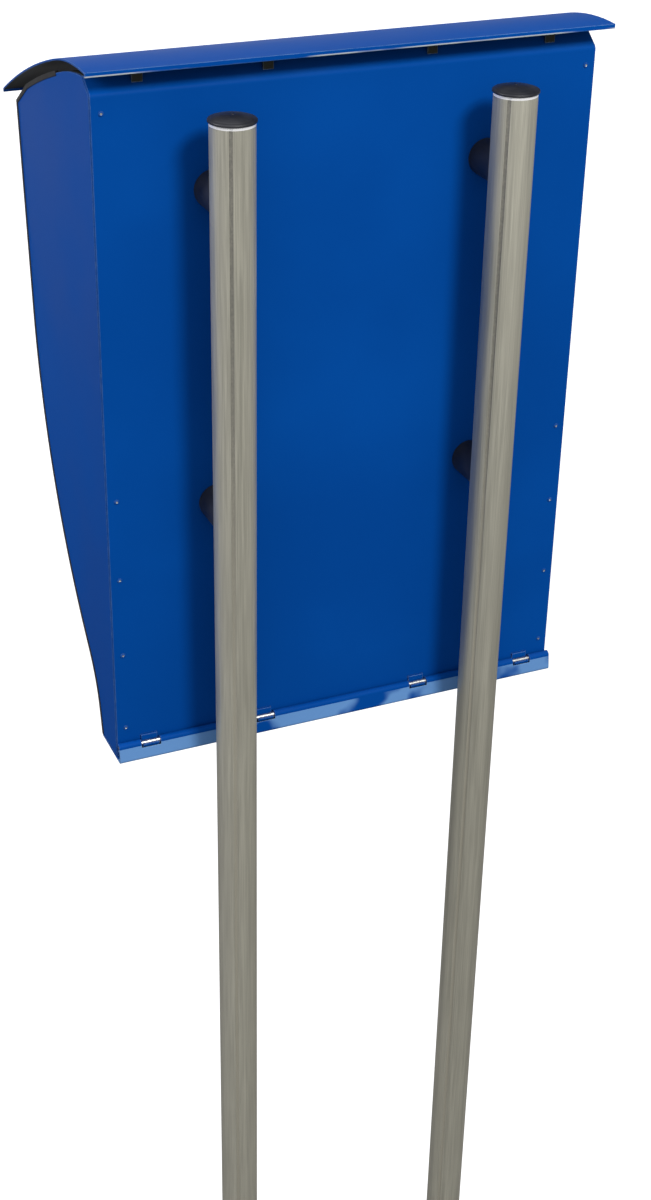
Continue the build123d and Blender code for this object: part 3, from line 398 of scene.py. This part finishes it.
mouldedLook = {
    "cap": {"colour": (0.009, 0.010, 0.014, 1), "pale": (0.020, 0.021, 0.026, 1),
            "roughness": (0.34, 0.46)},
    "rubber": {"colour": (0.010, 0.010, 0.010, 1), "pale": (0.022, 0.021, 0.020, 1),
               "roughness": (0.62, 0.8)},
    "nylon": {"colour": (0.70, 0.69, 0.64, 1), "pale": (0.78, 0.77, 0.73, 1),
              "roughness": (0.38, 0.5)},
    # the same on all three
    "grain": 1500.0, "depth": 0.15 * millimetre, "strength": 0.25,
    "edge": 0.8 * millimetre, "chips": 160.0, "edgeReach": 0.5, "wornPaler": 1.8,
    "dust": (0.30, 0.29, 0.27, 1), "dusting": 0.05, "dustPatch": 30.0,
}


def moulded(name, kind):
    # moulded plastic or rubber, greying a little on its edges and where dust lies
    look = {**mouldedLook, **mouldedLook[kind]}
    material, tree, shader = startMaterial(name)
    grain = placeGroup(tree, mouldedGrain, Grain=look["grain"])
    edgeMask = placeEdgeMask(tree, look)
    dust = placeGroup(tree, settledDust, Amount=look["dusting"], Patch=look["dustPatch"])
    colour = mixColours(tree, grain["Shade"], look["colour"], look["pale"])
    colour = mixColours(tree, edgeMask["Mask"], colour, paler(look["pale"], look["wornPaler"]))
    tree.links.new(mixColours(tree, dust["Mask"], colour, look["dust"]), shader["Base Color"])
    rough = rampBetween(tree, grain["Shade"], 0.0, 1.0, *look["roughness"])
    tree.links.new(rough, shader["Roughness"])
    bump = bumpFrom(tree, grain["Height"], look["strength"], look["depth"], edgeMask["Rounded"])
    tree.links.new(bump, shader["Normal"])
    return material


zincLook = {
    "dull": (0.50, 0.50, 0.50, 1), "yellow": (0.64, 0.63, 0.58, 1), "worn": (0.8, 0.8, 0.8, 1),
    "roughness": (0.30, 0.45), "spangle": 700.0, "depth": 0.05 * millimetre, "strength": 0.15,
    "edge": 0.4 * millimetre, "chips": 260.0, "edgeReach": 0.6,
}


def zincPlate():
    # bright zinc plating with a faint spangle and a yellowish cast
    look = zincLook
    material, tree, shader = startMaterial("zincPlate")
    place = {"Vector": objectSpace(tree), "Scale": look["spangle"]}
    cells = addNode(tree, "TexVoronoi", place).outputs["Color"]
    shade = addNode(tree, "SeparateColor", {0: cells}).outputs[0]
    tone = rampBetween(tree, shade, 0.0, 1.0)
    edgeMask = placeEdgeMask(tree, look)
    colour = mixColours(tree, tone, look["dull"], look["yellow"])
    tree.links.new(mixColours(tree, edgeMask["Mask"], colour, look["worn"]), shader["Base Color"])
    tree.links.new(rampBetween(tree, tone, 0.0, 1.0, *look["roughness"]), shader["Roughness"])
    bump = bumpFrom(tree, tone, look["strength"], look["depth"], edgeMask["Rounded"])
    tree.links.new(bump, shader["Normal"])
    shader["Metallic"].default_value = 1.0
    return material


chromeLook = {
    "colour": (0.68, 0.69, 0.71, 1), "worn": (0.85, 0.85, 0.86, 1), "roughness": (0.07, 0.26),
    # scratches, drawn out along Z
    "scratches": 1500.0, "stretch": (1, 1, 0.06), "scratchSpread": (0.45, 0.75),
    "depth": 0.03 * millimetre, "strength": 0.05,
    "edge": 0.4 * millimetre, "chips": 300.0, "edgeReach": 0.5,
}


def chromePlate():
    # polished plating, with hairline scratches in its roughness
    look = chromeLook
    material, tree, shader = startMaterial("chromePlate")
    scratches = noiseValue(tree, look["scratches"], 5.0, objectSpace(tree, look["stretch"]))
    edgeMask = placeEdgeMask(tree, look)
    colour = mixColours(tree, edgeMask["Mask"], look["colour"], look["worn"])
    tree.links.new(colour, shader["Base Color"])
    rough = rampBetween(tree, scratches, *look["scratchSpread"], *look["roughness"])
    tree.links.new(rough, shader["Roughness"])
    bump = bumpFrom(tree, scratches, look["strength"], look["depth"], edgeMask["Rounded"])
    tree.links.new(bump, shader["Normal"])
    shader["Metallic"].default_value = 1.0
    return material


cardLook = {
    "paper": (0.83, 0.82, 0.77, 1), "shade": (0.76, 0.74, 0.68, 1), "ink": (0.16, 0.19, 0.26, 1),
    "rowPitch": 9.0 * millimetre, "rowWidth": 0.55 * millimetre, "side": 80.0 * millimetre,
    "fibres": 800.0, "fibreDepth": 0.1 * millimetre, "strength": 0.2,
    "fibreSpread": (0.2, 0.8), "roughness": (0.7, 0.9),
}


def noticePaper():
    # ruled rows with no lettering, printed between two margins
    look = cardLook
    material, tree, shader = startMaterial("noticePaper")
    parts = axesOf(tree, addNode(tree, "TexCoord").outputs["Object"])
    fibres = noiseValue(tree, look["fibres"], 6.0)
    row = mathNode(tree, "PINGPONG", parts["Z"], look["rowPitch"] / 2)
    onRow = mathNode(tree, "LESS_THAN", row, look["rowWidth"] / 2)
    inside = mathNode(tree, "LESS_THAN", mathNode(tree, "ABSOLUTE", parts["X"]), look["side"])
    ink = mathNode(tree, "MULTIPLY", onRow, inside)
    paper = mixColours(tree, fibres, look["paper"], look["shade"])
    tree.links.new(mixColours(tree, ink, paper, look["ink"]), shader["Base Color"])
    rough = rampBetween(tree, fibres, *look["fibreSpread"], *look["roughness"])
    tree.links.new(rough, shader["Roughness"])
    tree.links.new(bumpFrom(tree, fibres, look["strength"], look["fibreDepth"]), shader["Normal"])
    return material


windowLook = {
    "tint": (0.96, 0.98, 0.99, 1), "index": 1.49, "roughness": (0.03, 0.2),
    "veil": 0.3,  # low enough that lamp light reaches the card
    # scuffs, drawn out along Z
    "scuffs": 600.0, "stretch": (1, 1, 0.1), "scuffSpread": (0.5, 0.8),
    "depth": 0.03 * millimetre, "strength": 0.03,
}


def clearWindow():
    # clear plastic with light handling scuffs
    look = windowLook
    material, tree, shader = startMaterial("clearWindow")
    scuffs = noiseValue(tree, look["scuffs"], 5.0, objectSpace(tree, look["stretch"]))
    rough = rampBetween(tree, scuffs, *look["scuffSpread"], *look["roughness"])
    tree.links.new(rough, shader["Roughness"])
    tree.links.new(bumpFrom(tree, scuffs, look["strength"], look["depth"]), shader["Normal"])
    shader["Base Color"].default_value = look["tint"]
    shader["Transmission Weight"].default_value = 1.0
    shader["Alpha"].default_value = look["veil"]
    shader["IOR"].default_value = look["index"]
    return material


finishes = {
    "blue_sheet": blueCoat("blueCoat"),
    "post_steel": drawnSteel("postSteel", "post"),
    "black_plastic": moulded("blackPlastic", "cap"),
    "black_rubber": moulded("blackRubber", "rubber"),
    "nylon": moulded("nylonWasher", "nylon"),
    "zinc": zincPlate(),
    "slot_steel": drawnSteel("slotSteel", "slotFrame"),
    "chrome": chromePlate(),
    "card": noticePaper(),
    "window": clearWindow(),
    # parts of a post
    "cutEndHighlight": drawnSteel("cutEndHighlight", "cutEndHighlight"),
    "seam": weldSeam(),
}
# nodes whose coat differs from the rest of their slot
ownFinish = {
    # roof: dark primer painted as shade underneath, and a painted hem highlight; roof tabs and top panel: dark
    # primer painted as the shade in the gap under the roof
    "roof": blueCoat("roofCoatShadeAndHighlight", shadedPrimer="below", withHemHighlight=True),
    "roof_tabs": blueCoat("tabPrimerShade", shadedPrimer="all"),
    # door: painted sheen on the lip
    "front_door": blueCoat("doorCoatLipSheen", withLipSheen=True),
    "top_panel": blueCoat("topPrimerShade", shadedPrimer="all"),
}
slotOfNode = {part["node"]: part["material_slot"] for part in frame["record"]["subparts"]}


def paintNodes():
    for name, node in frame["nodes"].items():
        for slot in node.material_slots:
            slot.material = ownFinish.get(name) or finishes[slotOfNode[name]]


paintNodes()
print("finishes made and put on the packed nodes")


# new pieces, each in place in its own mesh
def shownPiece(name, mesh, body, finishList, slotName, *nodes, sharpAngle=32):
    data = bpy.data.meshes.new(name)
    mesh.to_mesh(data)
    mesh.free()
    for finish in finishList:
        data.materials.append(finish)
    data.shade_smooth()
    data.set_sharp_from_angle(angle=radians(sharpAngle))
    piece = bpy.data.objects.new(name, data)
    bpy.context.scene.collection.objects.link(piece)
    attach(piece, body)
    if nodes:
        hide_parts(*nodes)
    return piece


sameSpot = 0.001 * millimetre  # points closer than this are one


def spun(profile, steps):
    # turns (radius, height) points in millimetres about Z into a closed shape
    mesh = bmesh.new()
    points = [mesh.verts.new((out * millimetre, 0, up * millimetre)) for out, up in profile]
    edges = [mesh.edges.new(pair) for pair in zip(points, points[1:])]
    bmesh.ops.spin(mesh, geom=points + edges, cent=(0, 0, 0), axis=(0, 0, 1), angle=tau,
                   steps=steps, use_merge=True)
    bmesh.ops.remove_doubles(mesh, verts=mesh.verts, dist=sameSpot)
    bmesh.ops.recalc_face_normals(mesh, faces=mesh.faces)
    return mesh


def quarterTurn(steps):
    # angles from nothing to a right angle
    return [step / steps * pi / 2 for step in range(steps + 1)]


def repeated(one, places):
    # the same small shape at each place, as one mesh
    pattern = bpy.data.meshes.new("pattern")
    one.to_mesh(pattern)
    one.free()
    whole = bmesh.new()
    for place in places:
        first = len(whole.verts)
        whole.from_mesh(pattern)
        whole.verts.ensure_lookup_table()
        bmesh.ops.transform(whole, matrix=place, verts=whole.verts[first:])
    bpy.data.meshes.remove(pattern)
    return whole


def middle(node):
    low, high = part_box(node)
    return (low + high) / 2


def jointNamed(name):
    return next(joint for joint in frame["joints"] if joint["name"] == name)


# posts: seamed tube with a chamfered cut end whose top band is painted bright as the highlight under the cap's
# lip, and the rolled line that marks the ground
postSizes = {
    "segments": 144, "wall": 2.0, "chamfer": 0.4, "highlightBand": 3.2,
    "seamDepth": 0.6, "seamReach": 1.7,
    "lineHeight": 350.0, "lineWidth": 2.0, "lineDepth": 0.5,
    # degrees from +Y towards +X
    "seamAngles": {"left_post": 44.0, "right_post": 25.0},
}


def besideSeam(point, seamWay):
    flat = Vector((point.x, point.y, 0))
    near = postSizes["seamReach"] * millimetre
    return flat.dot(seamWay) > 0 and flat.cross(seamWay).length < near


def postStations(radius, length):
    # (height, radius) of each ring, up the outside from the foot and back down the bore
    size = postSizes
    inner, chamfered = radius - size["wall"], radius - size["chamfer"]
    groove = radius - size["lineDepth"]
    lineFoot, lineTop = size["lineHeight"], size["lineHeight"] + size["lineWidth"]
    return [(0, chamfered), (size["chamfer"], radius), (lineFoot, radius), (lineFoot, groove),
            (lineTop, groove), (lineTop, radius), (length - size["highlightBand"], radius),
            (length - size["chamfer"], radius), (length, chamfered), (length, inner), (0, inner)]


def makePost(node):
    size = postSizes
    low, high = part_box(node)
    centre, length = middle(node), (high.z - low.z) / millimetre
    radius = (high.x - low.x) / 2 / millimetre
    seamAngle = radians(size["seamAngles"][node])
    seamWay = Vector((sin(seamAngle), cos(seamAngle), 0))
    mesh = bmesh.new()
    bmesh.ops.create_circle(mesh, segments=size["segments"], radius=radius * millimetre)
    # one of the ring's points goes to the middle of the seam
    turn = mesh.verts[:][0].co.to_2d().angle_signed(seamWay.to_2d())
    bmesh.ops.rotate(mesh, verts=mesh.verts, cent=(0, 0, 0),
                     matrix=Matrix.Rotation(-turn, 3, "Z"))
    for vert in mesh.verts:
        if besideSeam(vert.co, seamWay):
            vert.co *= 1 - size["seamDepth"] / radius
    firstRing = ring = mesh.edges[:]
    height, now = 0.0, radius
    for index, (newHeight, newRadius) in enumerate(postStations(radius, length)):
        if index:
            grown = bmesh.ops.extrude_edge_only(mesh, edges=ring)["geom"]
            ring = [part for part in grown if isinstance(part, bmesh.types.BMEdge)]
        verts = list({vert for edge in ring for vert in edge.verts})
        bmesh.ops.translate(mesh, verts=verts, vec=(0, 0, (newHeight - height) * millimetre))
        bmesh.ops.scale(mesh, verts=verts, vec=(newRadius / now, newRadius / now, 1))
        height, now = newHeight, newRadius
    bmesh.ops.bridge_loops(mesh, edges=firstRing + ring)
    bmesh.ops.recalc_face_normals(mesh, faces=mesh.faces)
    postFinishes = [finishes["post_steel"], finishes["cutEndHighlight"], finishes["seam"]]
    for face in mesh.faces:
        spot = face.calc_center_median()
        outside = spot.to_2d().length > (radius - size["wall"] / 2) * millimetre
        # the top band gets the painted highlight
        if spot.z > (length - size["highlightBand"]) * millimetre and outside:
            face.material_index = 1
        elif besideSeam(spot, seamWay) and outside:
            face.material_index = 2
    bmesh.ops.translate(mesh, verts=mesh.verts, vec=(centre.x, centre.y, low.z))
    side = node.split("_")[0]
    shownPiece(side + "PostTube", mesh, "box", postFinishes, "post_steel", node)


# caps: low dome with a moulding gate at its middle and a lip that covers the tube's end
capSizes = {
    "steps": 96, "gate": 1.6, "gateDepth": 0.5, "gateRim": 2.0, "rise": 7.0, "domePoints": 14,
    "domeEdge": 21.6, "domeEdgeHeight": 4.0, "lip": 2.5, "edge": 0.45,
    "plug": 22.0, "plugWall": 2.5, "plugInset": 3.7,
}


def makeCap(node):
    size = capSizes
    low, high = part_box(node)
    centre, radius = middle(node), (high.x - low.x) / 2 / millimetre
    rise, edge, lip = size["rise"], size["edge"], size["lip"]
    drop = rise - size["domeEdgeHeight"]
    profile = [(0, rise - size["gateDepth"]), (size["gate"], rise - size["gateDepth"])]
    for step in range(size["domePoints"] + 1):
        share = step / size["domePoints"]
        along = size["gateRim"] + (size["domeEdge"] - size["gateRim"]) * share
        profile.append((along, rise - drop * share ** 2))
    # over the lip, under it and down the plug, which is hollow
    plugRadius, plugFloor = radius - size["plugInset"], -size["plugWall"]
    bore = plugRadius - size["plugWall"]
    profile += [(size["domeEdge"] + edge, size["domeEdgeHeight"] - edge),
                (radius - 2 * edge, lip + edge), (radius - edge, lip), (radius, lip - edge),
                (radius, edge), (radius - edge, 0), (plugRadius, 0), (plugRadius, -size["plug"]),
                (bore, -size["plug"]), (bore, plugFloor), (0, plugFloor)]
    mesh = spun(profile, size["steps"])
    seat = high.z - rise * millimetre
    bmesh.ops.translate(mesh, verts=mesh.verts, vec=(centre.x, centre.y, seat))
    side = node.split("_")[0]
    shownPiece(side + "CapDome", mesh, "box", [finishes["black_plastic"]], "black_plastic", node)


# blind rivets along the rear edges, with the mandrel's hole in each head
rivetSizes = {
    "steps": 28, "headSteps": 6, "head": 3.0, "rise": 1.2, "hole": 1.1, "shank": 1.6,
    "grip": 4.0, "tail": 7.0, "tailRadius": 2.4, "tailChamfer": 0.6,
    # shares of the head's radius and rise
    "crown": 0.45, "rim": 0.12, "mandrel": 0.35, "holeRim": 0.92,
    "heights": (1268.0, 1368.0, 1468.0, 1568.0, 2003.0),
}


def makeRivets():
    size = rivetSizes
    head, rise, hole = size["head"], size["rise"], size["hole"]
    mandrel, crown, rim = rise * size["mandrel"], size["crown"], size["rim"]
    profile = [(0, mandrel), (hole, mandrel), (hole * 1.1, rise * size["holeRim"])]
    for angle in quarterTurn(size["headSteps"]):
        profile.append((head * (crown + (1 - crown) * sin(angle)),
                        rise * (rim + (1 - rim) * cos(angle))))
    tail, tailRadius, chamfer = size["tail"], size["tailRadius"], size["tailChamfer"]
    profile += [(head, 0), (size["shank"], 0), (size["shank"], -size["grip"]),
                (tailRadius, -size["grip"]), (tailRadius, -tail + chamfer),
                (tailRadius - chamfer, -tail), (0, -tail)]
    low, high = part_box("rear_rivets")
    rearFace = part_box("back_panel")[1].y
    outward = Matrix.Rotation(-pi / 2, 4, "X")  # turns Z towards +Y
    places = []
    for x in (low.x + head * millimetre, high.x - head * millimetre):
        for height in size["heights"]:
            places.append(Matrix.Translation((x, rearFace, height * millimetre)) @ outward)
    rivet = spun(profile, size["steps"])
    for face in rivet.faces:  # the broken mandrel is left unpainted; its pale metal also stands in for the glint on each rivet head
        spot = face.calc_center_median()
        if spot.z > 0 and spot.to_2d().length < hole * 1.05 * millimetre:
            face.material_index = 1
    shownPiece("rearRivetHeads", repeated(rivet, places), "box",
               [finishes["blue_sheet"], finishes["zinc"]], "blue_sheet", "rear_rivets")


# return springs: wire coils round the flap's rod
springSizes = {"wire": 0.6, "around": 8, "turns": 17, "stepsPerTurn": 24, "length": 24.0}


def makeSprings():
    size = springSizes
    low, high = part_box("flap_springs")
    rod = Vector(jointNamed("flap_lift")["pos_m"])
    wire, length = size["wire"] * millimetre, size["length"] * millimetre
    coil, run = (high.z - low.z) / 2 - wire, length - 2 * wire
    steps = size["turns"] * size["stepsPerTurn"]
    whole = bmesh.new()
    for start in (low.x + wire, high.x - length + wire):
        first = len(whole.verts)
        # a ring across the wire, carried round X and along it
        ring = bmesh.ops.create_circle(whole, segments=size["around"], radius=wire)["verts"]
        bmesh.ops.translate(whole, verts=ring, vec=(0, coil, 0))
        edges = list({edge for vert in ring for edge in vert.link_edges})
        bmesh.ops.spin(whole, geom=ring + edges, cent=(0, 0, 0), axis=(1, 0, 0),
                       dvec=(run / steps, 0, 0), angle=tau * size["turns"], steps=steps)
        whole.verts.ensure_lookup_table()
        bmesh.ops.translate(whole, verts=whole.verts[first:], vec=(start, rod.y, rod.z))
    ends = [edge for edge in whole.edges if edge.is_boundary]
    bmesh.ops.holes_fill(whole, edges=ends, sides=0)
    bmesh.ops.recalc_face_normals(whole, faces=whole.faces)
    shownPiece("flapSpringCoils", whole, "door", [finishes["zinc"]], "zinc", "flap_springs",
               sharpAngle=60)


# small hexagon-socket screws on the slot frame and on the notice holder
screwSizes = {
    "steps": 36, "headSteps": 6, "head": 2.6, "rise": 1.3, "socket": 1.25, "socketDepth": 0.8,
    "flat": 0.6,  # share of the head's radius that is flat on top
    "lift": 0.02, "sunk": 0.2,
    # how far the lock's axis is below the door's top edge
    "lockDrop": 48.0,
    "slotFrame": {"out": 2.5, "across": 180.2, "drops": (98.0, 130.0)},
    "holder": {"out": 3.7, "across": 98.0, "drops": (162.0, 230.0)},
}


def socketScrew():
    size = screwSizes
    head, rise, socket, flat = size["head"], size["rise"], size["socket"], size["flat"]
    floor = rise - size["socketDepth"]
    profile = [(0, floor), (socket, floor), (socket, rise)]
    for angle in quarterTurn(size["headSteps"])[1:]:
        profile.append((head * (flat + (1 - flat) * sin(angle)), rise * cos(angle) + size["lift"]))
    profile += [(head, 0), (head, -size["sunk"]), (0, -size["sunk"])]
    mesh = spun(profile, size["steps"])
    for vert in mesh.verts:  # the socket's round wall becomes a hexagon
        spot = vert.co.to_2d()
        if sameSpot < spot.length < socket * 1.02 * millimetre and vert.co.z > 0:
            angle = (spot.angle_signed(Vector((1, 0))) + pi) % (pi / 3) - pi / 6
            vert.co.x, vert.co.y = spot * cos(pi / 6) / cos(angle)
    return mesh


def doorPlace(x, drop, out):
    # a place on the door's sloping face, in millimetres across, down from its top edge and out
    lock = jointNamed("lock_turn")
    outward, across = Vector(lock["axis"]).normalized(), Vector((1, 0, 0))
    up = outward.cross(across)
    fromLock = across * x + up * (screwSizes["lockDrop"] - drop) + outward * out
    place = Vector(lock["pos_m"]) + millimetre * fromLock
    return Matrix.Translation(place) @ Matrix((across, up, outward)).transposed().to_4x4()


def makeScrews():
    for key, finish in (("slotFrame", "slot_steel"), ("holder", "zinc")):
        spots = screwSizes[key]
        places = [doorPlace(side * spots["across"], drop, spots["out"])
                  for side in (-1, 1) for drop in spots["drops"]]
        shownPiece(key + "Screws", repeated(socketScrew(), places), "door", [finishes[finish]],
                   finish)


# rubber edging on the front edge of each side panel, in the gap behind the door; its black also stands in for the
# shade in that gap
sealSizes = {
    "grip": 3.0, "stand": 2.3, "widen": 1.8, "round": 0.45, "merge": 0.01,
    # of the side panel's faces, those that look forwards and aren't a flange
    "steepest": -0.3, "flattest": 0.2, "widest": 3.0,
    # degrees
    "straighten": 0.5, "sharp": 50.0,
}


def edgeIsland(faces, widest):
    # the largest connected strip that is no wider than the sheet's own edge
    islands, left = [], set(faces)
    while left:
        island, toVisit = set(), [next(iter(left))]
        while toVisit:
            face = toVisit.pop()
            if face in left:
                left.discard(face)
                island.add(face)
                toVisit += [other for edge in face.edges for other in edge.link_faces]
        across = [vert.co.x for face in island for vert in face.verts]
        if max(across) - min(across) < widest * millimetre:
            islands.append(island)
    return max(islands, key=lambda island: sum(face.calc_area() for face in island))


def makeSeal(node):
    size = sealSizes
    mesh = bmesh.new()
    mesh.from_mesh(frame["nodes"][node].data)
    bmesh.ops.remove_doubles(mesh, verts=mesh.verts, dist=size["merge"] * millimetre)
    mesh.normal_update()
    front = [face for face in mesh.faces
             if face.normal.y < size["steepest"] and abs(face.normal.x) < size["flattest"]]
    kept = edgeIsland(front, size["widest"])
    rest = [face for face in mesh.faces if face not in kept]
    bmesh.ops.delete(mesh, geom=rest, context="FACES")
    mesh.normal_update()
    ways = {vert.co.copy().freeze(): vert.normal.copy() for vert in mesh.verts}
    grown = bmesh.ops.extrude_face_region(mesh, geom=mesh.faces[:], use_keep_orig=True)["geom"]
    outer = {part for part in grown if isinstance(part, bmesh.types.BMVert)}
    across = [vert.co.x for vert in mesh.verts]
    centre = (min(across) + max(across)) / 2
    for vert in mesh.verts:
        way = ways[vert.co.copy().freeze()]
        vert.co += way * millimetre * (size["stand"] if vert in outer else -size["grip"])
        vert.co.x = centre + (vert.co.x - centre) * size["widen"]
    bmesh.ops.recalc_face_normals(mesh, faces=mesh.faces)
    bmesh.ops.dissolve_limit(mesh, angle_limit=radians(size["straighten"]), verts=mesh.verts,
                             edges=mesh.edges)
    sharp = [edge for edge in mesh.edges
             if edge.is_manifold and edge.calc_face_angle() > radians(size["sharp"])]
    bmesh.ops.bevel(mesh, geom=sharp, offset=size["round"] * millimetre, affect="EDGES",
                    segments=2, profile=0.5, material=-1, clamp_overlap=True)
    bmesh.ops.recalc_face_normals(mesh, faces=mesh.faces)
    side = node.split("_")[0]
    shownPiece(side + "DoorSealAndShade", mesh, "box", [finishes["black_rubber"]], "black_rubber")


for post in ("left_post", "right_post"):
    makePost(post)
    makeCap(post + "_cap")
for panel in ("left_side_panel", "right_side_panel"):
    makeSeal(panel)
makeRivets()
makeSprings()
makeScrews()
print("new pieces made")


# floor, lights and camera
studio = {
    "floorNear": (0.22, 0.22, 0.22, 1), "floorFar": (0.62, 0.62, 0.64, 1),
    "nearReach": 2.2, "farReach": 6.0, "floorRoughness": 0.9, "floorSpecular": 0.1,
    "floorGlow": 1.0, "floorSize": 60.0, "floorBelow": 0.002,
    # the world is brightest towards brightWay, and plain behind the object
    "worldColour": (0.93, 0.95, 1.0, 1), "brightWay": (0.55, 0.75, 0.36),
    "worldFrom": -0.6, "worldTo": 1.0, "worldDim": 0.10, "worldBright": 0.85, "backdrop": 1.1,
    # name: place, aimed at, width, watts, colour
    "lamps": {
        "keyLamp": ((-0.55, 3.3, 4.6), (0, 0, 1.6), 1.1, 142.0, (1.0, 0.98, 0.95)),
        "sideLamp": ((2.6, -0.3, 3.6), (0.3, 0, 1.9), 1.2, 50.0, (0.95, 0.93, 1.0)),
        "frontLamp": ((-0.7, -3.6, 1.7), (0, 0, 1.4), 4.4, 46.0, (1.0, 1.0, 1.0)),
    },
}


def makeFloor():
    mesh = bmesh.new()
    bmesh.ops.create_grid(mesh, x_segments=2, y_segments=2, size=studio["floorSize"] / 2)
    bmesh.ops.translate(mesh, verts=mesh.verts, vec=(0, 0, cadBox[0][2] - studio["floorBelow"]))
    data = bpy.data.meshes.new("studioFloor")
    mesh.to_mesh(data)
    mesh.free()
    floor = bpy.data.objects.new("studioFloor", data)
    bpy.context.scene.collection.objects.link(floor)
    material, tree, shader = startMaterial("studioFloorPaint")
    away = addNode(tree, "VectorMath", {0: objectSpace(tree)}, operation="LENGTH").outputs["Value"]
    share = rampBetween(tree, away, studio["nearReach"], studio["farReach"])
    colour = mixColours(tree, share, studio["floorNear"], studio["floorFar"])
    tree.links.new(colour, shader["Base Color"])
    shader["Roughness"].default_value = studio["floorRoughness"]
    shader["Specular IOR Level"].default_value = studio["floorSpecular"]
    shader["Emission Color"].default_value = (1, 1, 1, 1)
    # looks white to the camera without lighting the box
    seen = addNode(tree, "LightPath").outputs["Is Camera Ray"]
    glow = mathNode(tree, "MULTIPLY", seen, studio["floorGlow"])
    tree.links.new(glow, shader["Emission Strength"])
    data.materials.append(material)


def makeLights():
    world = bpy.data.worlds.new("studioWorld")
    world.use_nodes = True
    tree = world.node_tree
    background = tree.nodes["Background"]
    background.inputs["Color"].default_value = studio["worldColour"]
    way = addNode(tree, "TexCoord").outputs["Generated"]
    towards = addNode(tree, "VectorMath", {0: way, 1: studio["brightWay"]}, operation="DOT_PRODUCT")
    strength = rampBetween(tree, towards.outputs["Value"], studio["worldFrom"], studio["worldTo"],
                           studio["worldDim"], studio["worldBright"])
    seen = addNode(tree, "LightPath").outputs["Is Camera Ray"]
    whole = addNode(tree, "Mix", {0: seen, 2: strength, 3: studio["backdrop"]}, data_type="FLOAT")
    tree.links.new(whole.outputs[0], background.inputs["Strength"])
    bpy.context.scene.world = world
    for name, (place, target, width, watts, colour) in studio["lamps"].items():
        lamp = bpy.data.lights.new(name, "AREA")
        lamp.shape, lamp.size, lamp.energy, lamp.color = "DISK", width, watts, colour
        holder = bpy.data.objects.new(name, lamp)
        holder.location = place
        aim = Vector(target) - Vector(place)
        holder.rotation_euler = aim.to_track_quat("-Z", "Y").to_euler()
        bpy.context.scene.collection.objects.link(holder)


# the view: from behind and above, a little to the +X side, the camera rolled by about a degree
view = {"place": (0.8459, 1.9684, 2.5583), "azimuth": 23.9, "elevation": 29.914, "roll": 1.129,
        "lens": 58.55, "sensor": 36.0}


def makeCamera():
    azimuth, elevation, roll = (radians(view[key]) for key in ("azimuth", "elevation", "roll"))
    back = Vector((sin(azimuth) * cos(elevation), cos(azimuth) * cos(elevation), sin(elevation)))
    level = Vector((-cos(azimuth), sin(azimuth), 0))
    upright = back.cross(level)
    right = level * cos(roll) + upright * sin(roll)
    up = upright * cos(roll) - level * sin(roll)
    data = bpy.data.cameras.new("photoView")
    data.lens, data.sensor_width = view["lens"], view["sensor"]
    camera = bpy.data.objects.new("photoView", data)
    turn = Matrix((right, up, back)).transposed().to_4x4()
    camera.matrix_world = Matrix.Translation(view["place"]) @ turn
    bpy.context.scene.collection.objects.link(camera)
    bpy.context.scene.camera = camera


makeFloor()
makeLights()
makeCamera()
bpy.context.scene.view_settings.view_transform = "Standard"  # paint colours as they are, not filmic
print("floor, lights and camera made")
